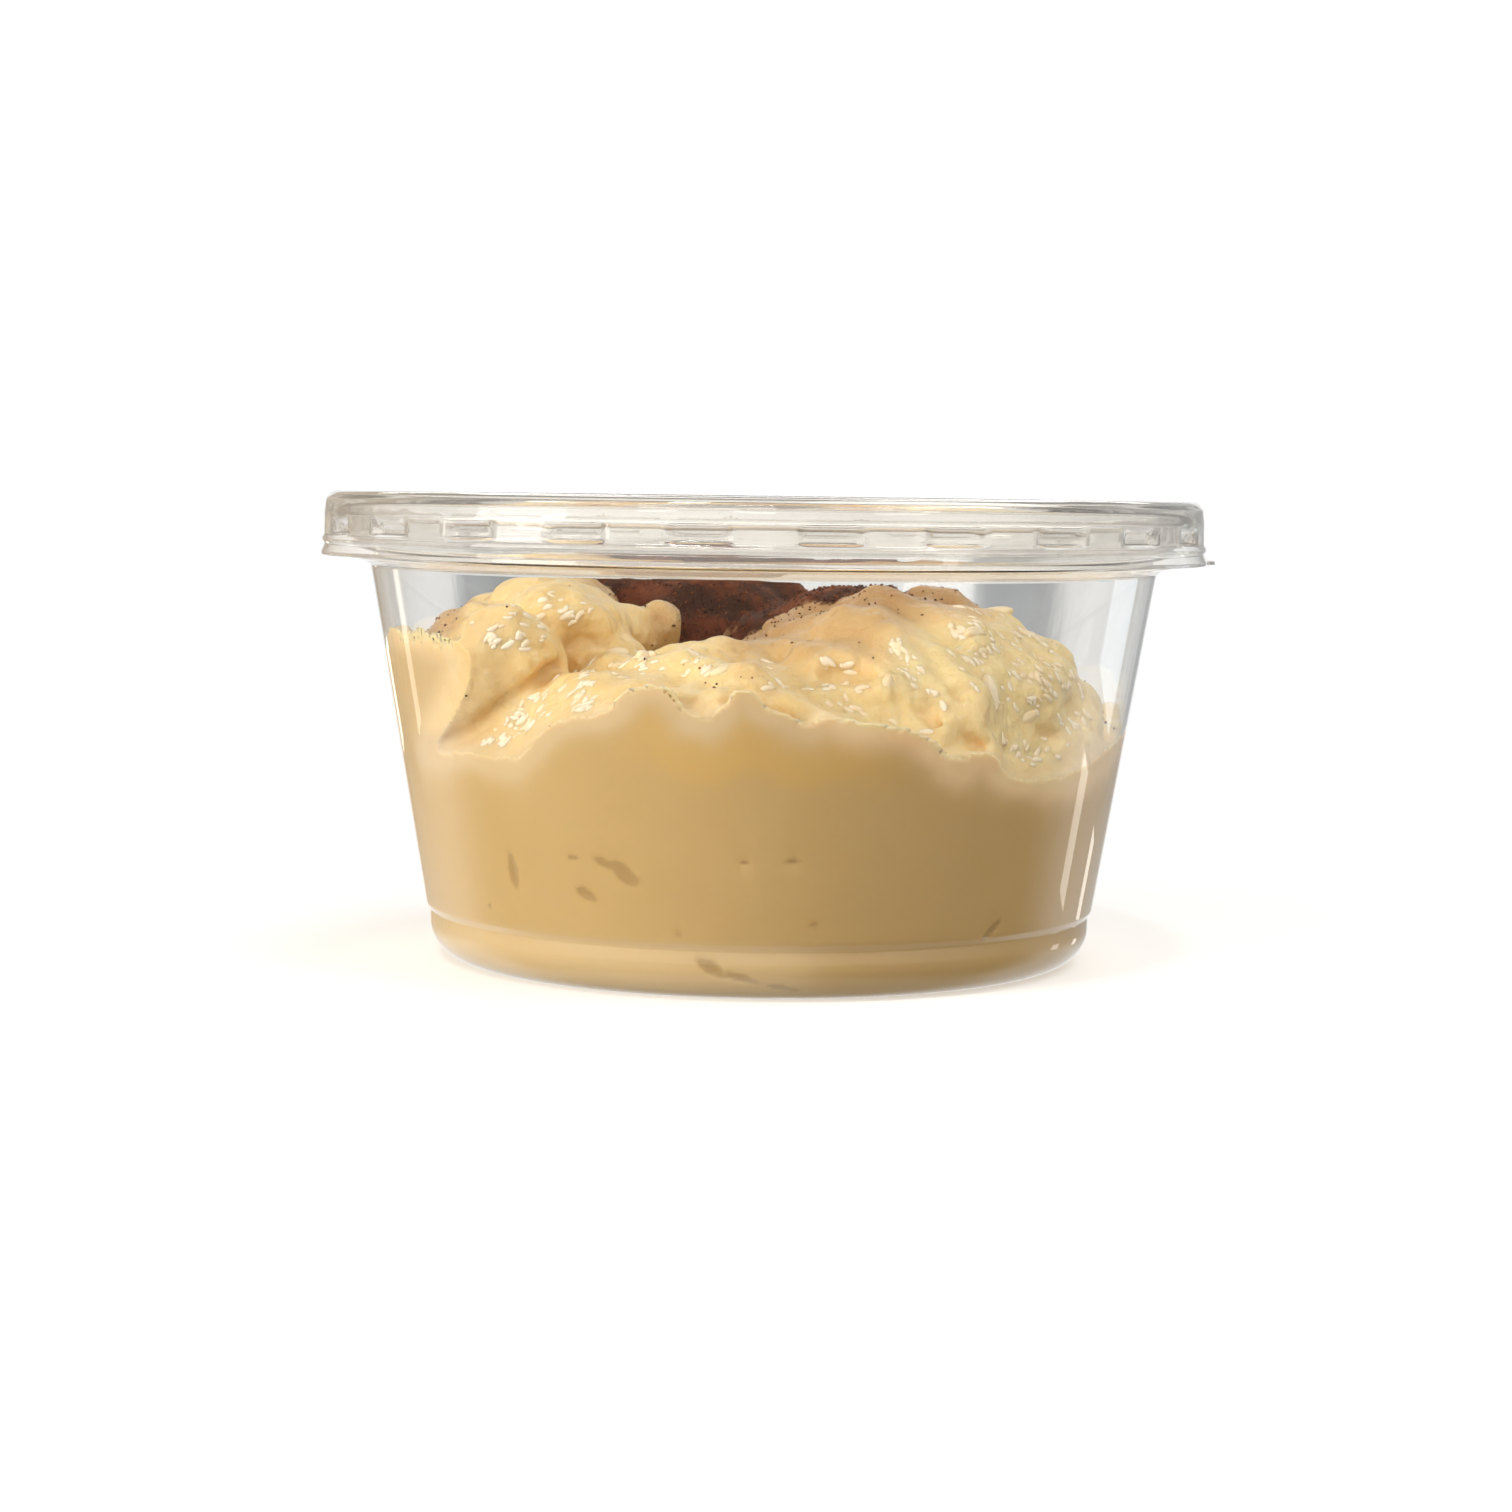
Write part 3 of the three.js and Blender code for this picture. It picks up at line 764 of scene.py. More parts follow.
def cinnamon_at(p):
    """How thick the cinnamon lies, and how far its thin dust reaches, at points of the surface."""
    n = fbm(p, 6, 21, 3)
    d = outline_distance(CINNAMON, p[:, 0], p[:, 1]) + 2.6 * n - 1.6
    # the flank at the left edge caught some too, and so did the side of the left scoop
    e = np.sqrt(((p[:, 0] + 43) / 6.5) ** 2 + ((p[:, 2] - 45.8) / 3.0) ** 2 + ((p[:, 1] + 6) / 19) ** 2) + 0.25 * n
    b = np.sqrt(((p[:, 0] + 13.0) / 3.8) ** 2 + ((p[:, 1] + 8) / 7) ** 2 + ((p[:, 2] - 45) / 5) ** 2) + 0.25 * n
    return smoothstep(1.4, -3.4, d), np.maximum(smoothstep(11.5, 1.5, d), np.maximum(0.85 * smoothstep(1.25, 0.55, e), 0.6 * smoothstep(1.2, 0.6, b)))


x, y, z = V.T
r_now = np.hypot(x, y)
# height of the contact line at each azimuth
az = np.arctan2(x, -y)
bins = np.linspace(-math.pi, math.pi, 361)
which = np.clip(np.digitize(az, bins) - 1, 0, 359)
line = np.full(360, 20.0)
np.maximum.at(line, which[side], z[side])
line = np.maximum(line, np.maximum(np.roll(line, 1), np.roll(line, -1)) - 1.2)
top_of_wall = line[which]
below_line = top_of_wall - z
edge_d, edge_use = touch_distance(x, y, z)
# painted light: a paler band at the foot of the wall, standing for light thrown up from the floor onto the step; less
# of it to the right
lit_foot_band = side * smoothstep(8.2, 6.6, z)
to_right = smoothstep(3, 14, np.degrees(az)) * smoothstep(160, 95, np.degrees(az))
lit_foot_band = lit_foot_band * (1 - 0.85 * to_right)
inward = np.where(y < 0, edge_use, 0) * np.clip(-edge_d, 0, 60) + np.where(y < 0, 1 - edge_use, 1) * np.clip(below_line, 0, 60)
# the film just under the cream's edge on the wall; its paler colour is partly the thin film itself and partly painted
# light soaking down from the lit top
rim = np.where(side, 1.0, 0.8) * np.exp(-((inward / (3.1 + 0.4 * to_right + 1.6 * fbm(V, 8, 77, 3))) ** 1.5))
# painted shade: how hollow the surface is round each corner, near and wider, for painting hollows and creases more
# ochre
hollow_shade = np.clip(1 - sample(body, V + G * 2.6) / 2.6, -1, 1)
hollow_shade = np.where(freev, hollow_shade, 0)
wide_hollow_shade = np.where(freev, np.clip(1 - sample(free, V + G * 6) / 6, 0, 1), 0)

# cinnamon: thick on the middle of the heap and its back mound, thin dust around
contact = np.where(side, 1.0, np.where(low, 1.0, np.exp(-np.clip(wall_r(z) - r_now, 0, 9) / (1.0 + 2.4 * smoothstep(-38, -50, np.degrees(az))))))
contact = contact * (1 - 0.7 * smoothstep(5.0, 0.3, np.abs(edge_d)) * edge_use * (y < 0) * smoothstep(-40, -47, np.degrees(az)) * smoothstep(30, 33, z))
cinnamon, dust = cinnamon_at(V)
cinnamon, dust = cinnamon * freev, dust * freev
grainy = (1 - smoothness(V)) * freev
fu, fv, fs = to_frame(V)
# a brown tint on the smooth shoulder of the dome, partly fine dust and partly painted shade, and the part of its flank
# where wet curds stand out, painted lighter as a painted highlight (outlines in the frame)
DOME_DUST_AND_SHADE_OUTLINE = ((728, 642), (745, 626), (790, 600), (850, 584), (905, 574), (960, 580), (1010, 604), (985, 616), (925, 622), (892, 636), (882, 660), (850, 656), (800, 662), (760, 664), (735, 660))
WET_HIGHLIGHT_OUTLINE = ((905, 604), (985, 600), (1040, 622), (1085, 670), (1105, 720), (1075, 748), (1010, 730), (965, 690), (930, 650))
in_front = smoothstep(14, 6, y) * freev
dome_dust_and_shade = in_front * smoothstep(16, -20, outline_distance(DOME_DUST_AND_SHADE_OUTLINE, fu, fv) + 9 * fbm(V, 5, 61, 2))
wet = in_front * smoothstep(8, -22, outline_distance(WET_HIGHLIGHT_OUTLINE, fu, fv) + 8 * fbm(V, 5, 63, 2))
# painted shade: hollows painted darker and more ochre, so that they look deeper
DIP_SHADE_OUTLINES = (
    (((437, 750), (441, 735), (462, 705), (473, 680), (474, 658), (500, 656), (530, 672), (560, 658), (548, 674), (520, 697), (505, 714), (490, 730), (472, 750)), 0.4),
    (((556, 640), (570, 630), (590, 628), (604, 634), (602, 652), (585, 656), (562, 658)), 0.45),
    (((815, 676), (830, 668), (860, 668), (884, 676), (880, 686), (850, 688), (822, 684)), 0.35),
    (((914, 708), (932, 706), (950, 716), (952, 728), (938, 740), (922, 732)), 0.2),
    (((1030, 722), (1055, 728), (1052, 742), (1034, 738)), 0.2),
    (((960, 738), (985, 742), (990, 752), (968, 752)), 0.15),
)
dip_shade = np.zeros(len(V))
for outline, amount in DIP_SHADE_OUTLINES:
    dip_shade = np.maximum(dip_shade, amount * smoothstep(6, -7, outline_distance(outline, fu, fv)) * freev * (y < -4))
# painted highlight: also lighter spots on the scoop's nose and on the ridge
wet = np.maximum(wet, 0.8 * freev * (y < 0) * (smoothstep(3.2, 0.6, np.hypot(fu - 549, fv - 612) / 8) + smoothstep(6, 1.5, np.hypot((fu - 610) / 2.2, fv - 672) / 8)))
# painted light: the right side of the heap and its film are painted lighter
right_painted_light = to_right
ochre = side * np.exp(-(((inward - 5.0) / 3.4) ** 2)) * np.exp(-((np.degrees(az) - 1) / 21) ** 4)

pudding = build_mesh("rice_pudding", V, Q)
me = pudding.data
for name, values in (("contact", contact), ("rim", rim), ("hollow_shade", hollow_shade), ("wide", wide_hollow_shade), ("cinnamon", cinnamon), ("dust", dust), ("gap", gap_shade), ("ochre", ochre), ("grainy", grainy), ("lit_foot_band", lit_foot_band), ("dome_dust_and_shade", dome_dust_and_shade), ("wet", np.clip(wet, 0, 1)), ("right_painted_light", right_painted_light), ("dip_shade", dip_shade)):
    at = me.attributes.new(name, "FLOAT", "POINT")
    at.data.foreach_set("value", np.asarray(values, np.float32))

# the base underneath is flat, and the wall is smooth away from its edge and gaps, so they need fewer faces
vg = pudding.vertex_groups.new(name="base")
flat = low & (r_now < 38.5)
plain = side & (inward > 7.5) & (ochre < 0.02) & (gap_shade < 0.01) & (gap == 0) & (z > 9.5)
vg.add(np.nonzero(flat | plain)[0].tolist(), 1.0, "REPLACE")
dec = pudding.modifiers.new("fewer", "DECIMATE")
dec.vertex_group = "base"
dec.ratio = min(1.0, 1 - (1.85 * np.count_nonzero(flat) + 1.6 * np.count_nonzero(plain)) / len(Q) / 2)
dg = bpy.context.evaluated_depsgraph_get()
new = bpy.data.meshes.new_from_object(pudding.evaluated_get(dg), preserve_all_data_layers=True, depsgraph=dg)
pudding.modifiers.clear()
pudding.vertex_groups.clear()
pudding.data = new
bpy.data.meshes.remove(me)
me = pudding.data
me.name = "rice_pudding"
me.polygons.foreach_set("use_smooth", np.ones(len(me.polygons), bool))
print("grid", 2 * len(Q), "triangles, base", int(low.sum()))
print("pudding", len(me.vertices), "corners", sum(len(p.vertices) - 2 for p in me.polygons), "triangles")


# ------------------------------------------------------------------ loose rice and cinnamon grains
def joined(name, parts):
    """One mesh object of many small closed shapes, each (corners n x 3 in mm, triangles)."""
    vs, fs, base = [], [], 0
    for v, f in parts:
        vs.append(v)
        fs.append(f + base)
        base += len(v)
    return build_mesh(name, np.concatenate(vs), np.concatenate(fs))


def ico(sub):
    bm = bmesh.new()
    bmesh.ops.create_icosphere(bm, subdivisions=sub, radius=1)
    bm.verts.ensure_lookup_table()
    v = np.array([list(p.co) for p in bm.verts])
    f = np.array([[p.index for p in face.verts] for face in bm.faces])
    bm.free()
    return v, f


def turned(t, n):
    t = t / np.linalg.norm(t)
    b = np.cross(n, t)
    b /= np.linalg.norm(b)
    return np.stack([t, b, np.cross(t, b)], 1)  # columns: along, across, up


BALL2, BALLF2 = ico(3)
BALL1, BALLF1 = ico(1)
BALL2S, BALLF2S = ico(2)


def grain(c, t, n, length, width, bend):
    v = BALL2.copy()
    along = v[:, 0]
    fat = 1 - 0.18 * along**2 + 0.05 * along
    w = np.stack([v[:, 0] * length / 2, v[:, 1] * width / 2 * fat, v[:, 2] * width / 2 * 0.88 * fat], 1)
    w[:, 1] += bend * (along**2 - 0.4)
    w += 0.04 * np.stack([noise3(BALL2 * 1.7 + c[0], 1.0, int(abs(c[1]) * 10) % 999)] * 3, 1) * BALL2
    return c + w @ turned(t, n).T, BALLF2


parts = []
gp, gn = surface_points(body, 120, lambda q: 1 - 0.92 * smoothness(q))
bare = cinnamon_at(gp)[1] < 0.35
for p, n in zip(gp[bare], gn[bare]):
    if np.hypot(p[0], p[1]) > wall_r(p[2]) - 4.0 or (-20 < p[0] < 22 and -22 < p[1] < 0) or (p[0] < -20 and p[1] < -16 and p[2] < 44):
        continue
    w = rng.uniform(2.1, 2.6)
    t = tangent(n, 0.18)
    parts.append(grain(p - n * w * rng.uniform(0.40, 0.50), t, n, rng.uniform(5.2, 6.4), w, rng.uniform(-0.35, 0.35)))
rice = joined("rice_grains", parts)

# small wet dabs of cream and broken grains, coloured paler than the cream, partly their own colour and partly painted
# highlights: outline in the frame, how many, turn from level in degrees
DABS = (
    (((948, 606), (1000, 612), (1045, 640), (1078, 676), (1094, 712), (1070, 735), (1020, 715), (975, 690), (945, 655)), 130, 42),
    (((905, 590), (985, 600), (1010, 615), (960, 612), (915, 604)), 26, 20),
    (((893, 632), (910, 650), (945, 705), (932, 712), (900, 672), (886, 650)), 34, 58),
    (((815, 660), (850, 655), (890, 672), (884, 692), (850, 700), (812, 690)), 14, 8),
    (((476, 748), (515, 708), (560, 672), (600, 658), (660, 655), (725, 664), (712, 680), (650, 672), (612, 682), (590, 708), (540, 718), (505, 750)), 110, -18),
    (((458, 634), (500, 600), (560, 590), (602, 598), (566, 636), (520, 652), (480, 646)), 50, -30),
    (((1000, 735), (1060, 740), (1085, 760), (1050, 774), (1012, 768)), 22, -38),
    (((735, 650), (800, 668), (860, 706), (940, 735), (935, 742), (850, 714), (770, 690)), 40, 20),
)
dabs = []
right_v, up_v, _ = camera_axes()
right_v, up_v = np.array(right_v), np.array(up_v)
for outline, count, turn in DABS:
    lo, hi = np.min(outline, 0), np.max(outline, 0)
    q = rng.uniform(lo, hi, (count * 6, 2))
    q = q[outline_distance(outline, q[:, 0], q[:, 1]) < 0]
    crowd = noise3(np.stack([q[:, 0], q[:, 1], np.zeros(len(q))], 1), 15, 88)
    q = q[rng.random(len(q)) < 0.25 + 0.75 * smoothstep(-0.2, 0.35, crowd)][:count]
    for px, py in q:
        p = seen_point(px, py, body)
        if p is None or np.hypot(p[0], p[1]) > wall_r(p[2]) - 0.9:
            continue
        n = gradient(body, p[None])[0]
        if cinnamon_at(p[None])[1][0] > 0.3:
            continue
        a = math.radians(turn + rng.normal() * 24)
        t = right_v * math.cos(a) - up_v * math.sin(a)
        t = t - n * (t @ n)
        width = rng.uniform(0.45, 1.0)
        length = width * rng.uniform(1.0, 2.6)
        v = BALL2S * (length / 2, width / 2, width * 0.36)
        v[:, 1] += rng.uniform(-0.25, 0.25) * (v[:, 0] / length * 2) ** 2
        v *= 1 + 0.16 * noise3(BALL2S * 1.3 + p, 1.0, 5)[:, None]
        dabs.append((p - n * width * 0.12 + v @ turned(t / np.linalg.norm(t), n).T, BALLF2S))
# and all round the rest of the heap
op, on = surface_points(body, 420, lambda q: (1 - 0.7 * smoothness(q)) * (q[:, 1] > -6))
for p, n in zip(op, on):
    if cinnamon_at(p[None])[1][0] > 0.15 or np.hypot(p[0], p[1]) > wall_r(p[2]) - 0.9:
        continue
    width = rng.uniform(0.45, 1.0)
    v = BALL2S * (width * rng.uniform(0.5, 1.3), width / 2, width * 0.36)
    dabs.append((p - n * width * 0.12 + v @ turned(tangent(n, 0.1), n).T, BALLF2S))
curd = joined("wet_curds_and_painted_highlights", dabs)
print("dabs", len(dabs))

specks = []
cp, cn = surface_points(body, 60000)


thick_at, thin_at = cinnamon_at(cp)
keep = rng.random(len(cp)) < 0.30 * thick_at + 0.10 * thin_at**2 + 0.0016
for p, n in zip(cp[keep], cn[keep]):
    r = rng.uniform(0.08, 0.20)
    v = BALL1 * r * rng.uniform(0.6, 1.3, 3) * (1 + 0.25 * rng.normal(size=(len(BALL1), 1)))
    specks.append((v + p + n * r * 0.3, BALLF1))
for px, py in ((645, 659), (684, 665), (717, 684), (741, 677), (792, 643), (629, 692), (686, 713), (859, 643), (922, 615), (873, 658), (508, 607), (468, 695), (700, 668), (752, 678), (706, 683)):
    p = seen_point(px, py, body)
    if p is None:
        continue
    r = rng.uniform(0.12, 0.2)
    v = BALL1 * r * rng.uniform(0.7, 1.3, 3)
    specks.append((v + p + gradient(body, p[None])[0] * 0.05, BALLF1))
cin = joined("cinnamon_grains", specks[:9500])
print("rice", len(parts), "cinnamon", len(specks))


# ------------------------------------------------------------------ materials
def material(name):
    m = bpy.data.materials.new(name)
    m.use_nodes = True
    nt = m.node_tree
    nt.nodes.clear()
    out = nt.nodes.new("ShaderNodeOutputMaterial")
    bsdf = nt.nodes.new("ShaderNodeBsdfPrincipled")
    nt.links.new(bsdf.outputs[0], out.inputs["Surface"])
    return m, nt, bsdf


class Tree:
    """Short names for the nodes that the materials are made of."""

    def __init__(self, nt):
        self.nt = nt

    def node(self, kind, **props):
        n = self.nt.nodes.new(kind)
        for k, v in props.items():
            setattr(n, k, v)
        return n

    def put(self, socket, value):
        if isinstance(value, bpy.types.NodeSocket):
            self.nt.links.new(value, socket)
        elif value is not None:
            socket.default_value = value

    def attr(self, name):
        return self.node("ShaderNodeAttribute", attribute_name=name).outputs["Fac"]

    def place(self, scale=(1, 1, 1), turn=(0, 0, 0)):
        tc = self.node("ShaderNodeTexCoord")
        mp = self.node("ShaderNodeMapping")
        self.nt.links.new(tc.outputs["Object"], mp.inputs["Vector"])
        mp.inputs["Scale"].default_value = scale
        mp.inputs["Rotation"].default_value = turn
        mp.vector_type = "TEXTURE" if turn != (0, 0, 0) else "POINT"
        if turn != (0, 0, 0):
            mp.inputs["Scale"].default_value = tuple(1 / k for k in scale)
        return mp.outputs[0]

    def noise(self, scale, detail=3, rough=0.55, where=None, distortion=0.0):
        n = self.node("ShaderNodeTexNoise")
        self.put(n.inputs["Vector"], where if where is not None else self.place())
        n.inputs["Scale"].default_value = scale
        n.inputs["Detail"].default_value = detail
        n.inputs["Roughness"].default_value = rough
        n.inputs["Distortion"].default_value = distortion
        return n.outputs["Fac"]

    def voronoi(self, scale, where=None, feature="F1"):
        n = self.node("ShaderNodeTexVoronoi", feature=feature)
        self.put(n.inputs["Vector"], where if where is not None else self.place())
        n.inputs["Scale"].default_value = scale
        return n.outputs["Distance"]

    def math(self, op, a, b=None, c=None, clamp=False):
        n = self.node("ShaderNodeMath", operation=op, use_clamp=clamp)
        for i, v in enumerate((a, b, c)):
            if v is not None:
                self.put(n.inputs[i], v)
        return n.outputs[0]

    def span(self, v, a, b, lo=0.0, hi=1.0):
        n = self.node("ShaderNodeMapRange", clamp=True, interpolation_type="SMOOTHSTEP")
        self.put(n.inputs["Value"], v)
        for k, x in (("From Min", a), ("From Max", b), ("To Min", lo), ("To Max", hi)):
            n.inputs[k].default_value = x
        return n.outputs["Result"]

    def mix(self, fac, a, b, blend="MIX"):
        n = self.node("ShaderNodeMix", data_type="RGBA", blend_type=blend)
        self.put(n.inputs["Factor"], fac)
        for k, v in ((6, a), (7, b)):
            if isinstance(v, tuple) and len(v) == 3:
                v = (*v, 1)
            self.put(n.inputs[k], v)
        return n.outputs[2]

    def bump(self, height, strength, distance, normal=None):
        n = self.node("ShaderNodeBump")
        self.put(n.inputs["Height"], height)
        n.inputs["Strength"].default_value = strength
        n.inputs["Distance"].default_value = distance
        if normal is not None:
            self.put(n.inputs["Normal"], normal)
        return n.outputs[0]


def srgb(r, g, b):
    def lin(v):
        v /= 255
        return v / 12.92 if v <= 0.04045 else ((v + 0.055) / 1.055) ** 2.4

    return (lin(r), lin(g), lin(b))


def clear_plastic(name, tint, rough, wave, along, clear=1.0, shoulder_reflection=None):
    m, nt, p = material(name)
    t = Tree(nt)
    p.inputs["Transmission Weight"].default_value = clear
    p.inputs["IOR"].default_value = 1.57
    p.inputs["Roughness"].default_value = rough
    # the sheet was drawn hot over a mould, so it is very slightly streaked and cloudy
    streak = t.noise(1.0, 2, 0.5, t.place(along))
    cloud = t.noise(55, 2, 0.5)
    p.inputs["Base Color"].default_value = (*tint, 1)
    base = t.mix(t.span(cloud, 0.35, 0.7), (*tint, 1), tuple(c * 0.975 for c in tint))
    if shoulder_reflection:
        # a cream tint painted on the shoulder under the rim: a painted reflection of the pudding that the curved
        # shoulder shows
        low, high, tone = shoulder_reflection
        tc = t.node("ShaderNodeTexCoord")
        sep = t.node("ShaderNodeSeparateXYZ")
        nt.links.new(tc.outputs["Object"], sep.inputs[0])
        zc = sep.outputs[2]
        base = t.mix(t.math("MULTIPLY", t.span(zc, low - 0.0002, low + 0.0003), t.span(zc, high + 0.0003, high - 0.0002)), base, tone)
    t.put(p.inputs["Base Color"], base)
    t.put(p.inputs["Normal"], t.bump(t.math("ADD", t.math("MULTIPLY", streak, 0.6), cloud), wave, 0.0004))
    return m


# its last argument gives the heights and tone of the painted reflection on the shoulder
cup.data.materials.append(clear_plastic("clear cup plastic", (0.93, 0.93, 0.92), 0.02, 0.018, (240, 240, 28), 1.0, (0.0522, 0.0536, (0.90, 0.80, 0.66))))
lid.data.materials.append(clear_plastic("clear lid plastic", (0.99, 0.97, 0.935), 0.02, 0.012, (26, 26, 420), 0.92))

CREAM = srgb(249, 218, 160)
# the cream pressed on the wall, a darker copy of the cream: painted shade on the upright front
SHADED_TAN = srgb(211, 179, 123)
# more ochre cream for hollows and creases: painted shade
OCHRE_SHADE = srgb(224, 182, 112)
# the pale film under the cream's edge: partly its own colour, partly painted light
FILM_WITH_PAINTED_GLOW = srgb(226, 201, 158)
CIN_DARK = srgb(62, 30, 19)
CIN_RED = srgb(118, 62, 36)
DUSTED = srgb(182, 140, 92)

m, nt, p = material("rice pudding")
t = Tree(nt)
contact_a, rim_a, hollow_shade_a, wide_hollow_shade_a, cin_a, dust_a, gap_shade_a, ochre_a, grainy_a = (t.attr(n) for n in ("contact", "rim", "hollow_shade", "wide", "cinnamon", "dust", "gap", "ochre", "grainy"))
patch = t.noise(70, 3, 0.5)
fine = t.noise(900, 3, 0.6)
mid = t.noise(320, 3, 0.55)
c = t.mix(t.span(patch, 0.38, 0.66), CREAM, srgb(240, 208, 146))
c = t.mix(t.span(mid, 0.52, 0.72, 0, 0.4), c, srgb(252, 234, 192))
c = t.mix(t.span(fine, 0.5, 0.7, 0, 0.2), c, srgb(226, 188, 128))
# painted shade: hollows and creases painted more ochre
c = t.mix(t.span(hollow_shade_a, 0.35, 0.95, 0, 0.22), c, OCHRE_SHADE)
c = t.mix(t.span(wide_hollow_shade_a, 0.45, 0.95, 0, 0.28), c, OCHRE_SHADE)
# the cream on the wall is painted a darker tan, as painted shade on the upright front
wall_c = t.mix(t.span(patch, 0.3, 0.7), SHADED_TAN, srgb(208, 176, 119))
wall_c = t.mix(t.span(ochre_a, 0.1, 0.9, 0, 0.6), wall_c, srgb(221, 182, 108))
# the film under the cream's edge is paler, partly the thin film and partly painted light from the lit top; paler still
# on the right, as painted light
film_with_glow = t.mix(t.attr("right_painted_light"), FILM_WITH_PAINTED_GLOW, srgb(255, 224, 178))
film_with_glow = t.mix(t.span(t.noise(150, 3, 0.55), 0.35, 0.65, 0, 0.2), film_with_glow, SHADED_TAN)
wall_c = t.mix(t.span(rim_a, 0.05, 0.8, 0, 0.95), wall_c, film_with_glow)
# painted light: the foot of the wall painted paler
wall_c = t.mix(t.math("MULTIPLY", t.attr("lit_foot_band"), 0.6), wall_c, srgb(228, 202, 156))
# painted shade in the small air gaps at the wall
wall_c = t.mix(t.math("MULTIPLY", gap_shade_a, 0.6), wall_c, srgb(184, 148, 95))
# painted highlight: lighter where wet curds catch the light
c = t.mix(t.math("MULTIPLY", t.attr("wet"), 0.35), c, srgb(252, 216, 156))
# painted light: the right side of the heap painted lighter
c = t.mix(t.math("MULTIPLY", t.attr("right_painted_light"), 0.45), c, srgb(255, 227, 174))
# painted shade: the dips painted darker and more ochre
c = t.mix(t.attr("dip_shade"), c, srgb(228, 192, 128))
c = t.mix(contact_a, c, wall_c)
# a brown tint on the dome's shoulder: partly fine dust, partly painted shade
c = t.mix(t.math("MULTIPLY", t.attr("dome_dust_and_shade"), 0.8), c, srgb(206, 166, 112))
# cinnamon dust: a fine speckle whose grains thin out, over a stain
grit = t.noise(2600, 2, 0.7)
stain = t.mix(t.span(t.noise(160, 3, 0.6), 0.4, 0.62), CIN_DARK, CIN_RED)
powder = t.math("MULTIPLY", t.span(dust_a, 0.05, 0.95), t.span(t.math("ADD", grit, t.math("MULTIPLY", mid, 0.4)), 0.45, 0.85, 0.6, 1.0))
c = t.mix(t.math("MULTIPLY", powder, 0.85), c, DUSTED)
thick = t.span(t.math("ADD", t.math("MULTIPLY", t.noise(520, 3, 0.65), 0.9), cin_a), 0.75, 1.15)
c = t.mix(t.math("MULTIPLY", thick, 0.97), c, stain)
t.put(p.inputs["Base Color"], c)
p.inputs["Subsurface Weight"].default_value = 0.85
p.inputs["Subsurface Radius"].default_value = (1.0, 0.9, 0.7)
p.inputs["Subsurface Scale"].default_value = 0.0013
p.inputs["IOR"].default_value = 1.42
p.inputs["Specular IOR Level"].default_value = 0.34
rough = t.span(t.math("ADD", t.math("MULTIPLY", mid, 0.5), t.math("MULTIPLY", patch, 0.5)), 0.35, 0.65, 0.27, 0.45)
rough = t.math("MAXIMUM", rough, t.math("MULTIPLY", contact_a, 0.6))
rough = t.math("MAXIMUM", rough, t.math("MULTIPLY", thick, 0.85))
t.put(p.inputs["Roughness"], rough)
beads = t.span(t.voronoi(620, t.place((1.0, 1.0, 0.8)), "SMOOTH_F1"), 0.0, 0.62, 1, 0)
loose = t.math("SUBTRACT", 1.0, t.math("MULTIPLY", contact_a, 0.92))
n1 = t.bump(t.math("MULTIPLY", mid, loose), 0.65, 0.0009)
n2 = t.bump(t.math("MULTIPLY", t.math("MULTIPLY", beads, loose), t.math("ADD", t.math("MULTIPLY", grainy_a, 0.8), 0.2)), 0.55, 0.0006, n1)
n2 = t.bump(t.math("MULTIPLY", fine, loose), 0.5, 0.0003, n2)
n3 = t.bump(t.math("MULTIPLY", grit, thick), 0.6, 0.0004, n2)
t.put(p.inputs["Normal"], n3)
pudding.data.materials.clear()
pudding.data.materials.append(m)

m, nt, p = material("cooked rice")
t = Tree(nt)
body_n = t.noise(260, 3, 0.5)
t.put(p.inputs["Base Color"], t.mix(t.span(body_n, 0.35, 0.7), srgb(254, 234, 196), srgb(248, 220, 172)))
t.put(p.inputs["Roughness"], t.span(body_n, 0.3, 0.7, 0.16, 0.3))
t.put(p.inputs["Normal"], t.bump(t.noise(900, 2, 0.5), 0.3, 0.0003))
rice.data.materials.append(m)

m, nt, p = material("pale wet curds and painted highlights")
t = Tree(nt)
# paler than the cream: partly the curds' own colour, partly painted highlights
t.put(p.inputs["Base Color"], t.mix(t.span(t.noise(400, 3, 0.5), 0.35, 0.65), srgb(255, 241, 214), srgb(254, 230, 190)))
t.put(p.inputs["Roughness"], t.span(t.noise(500, 2, 0.5), 0.3, 0.7, 0.14, 0.3))
t.put(p.inputs["Normal"], t.bump(t.noise(1500, 2, 0.5), 0.3, 0.0002))
curd.data.materials.append(m)

m, nt, p = material("ground cinnamon")
t = Tree(nt)
t.put(p.inputs["Base Color"], t.mix(t.span(t.noise(700, 2, 0.5), 0.4, 0.62), srgb(70, 36, 20), srgb(136, 78, 42)))
p.inputs["Roughness"].default_value = 0.85
t.put(p.inputs["Normal"], t.bump(t.noise(6000, 2, 0.5), 0.5, 0.0002))
cin.data.materials.append(m)

# ------------------------------------------------------------------ pieces on the frame
for piece, node, slot in ((cup, "cup", "cup_plastic"), (lid, "lid", "lid_plastic"), (pudding, "pudding", "pudding")):
    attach(piece, "root")
    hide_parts(node)
for piece in (rice, curd, cin):
    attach(piece, "root")
for o in (cup, lid):
    o.visible_shadow = False
    o.visible_diffuse = False

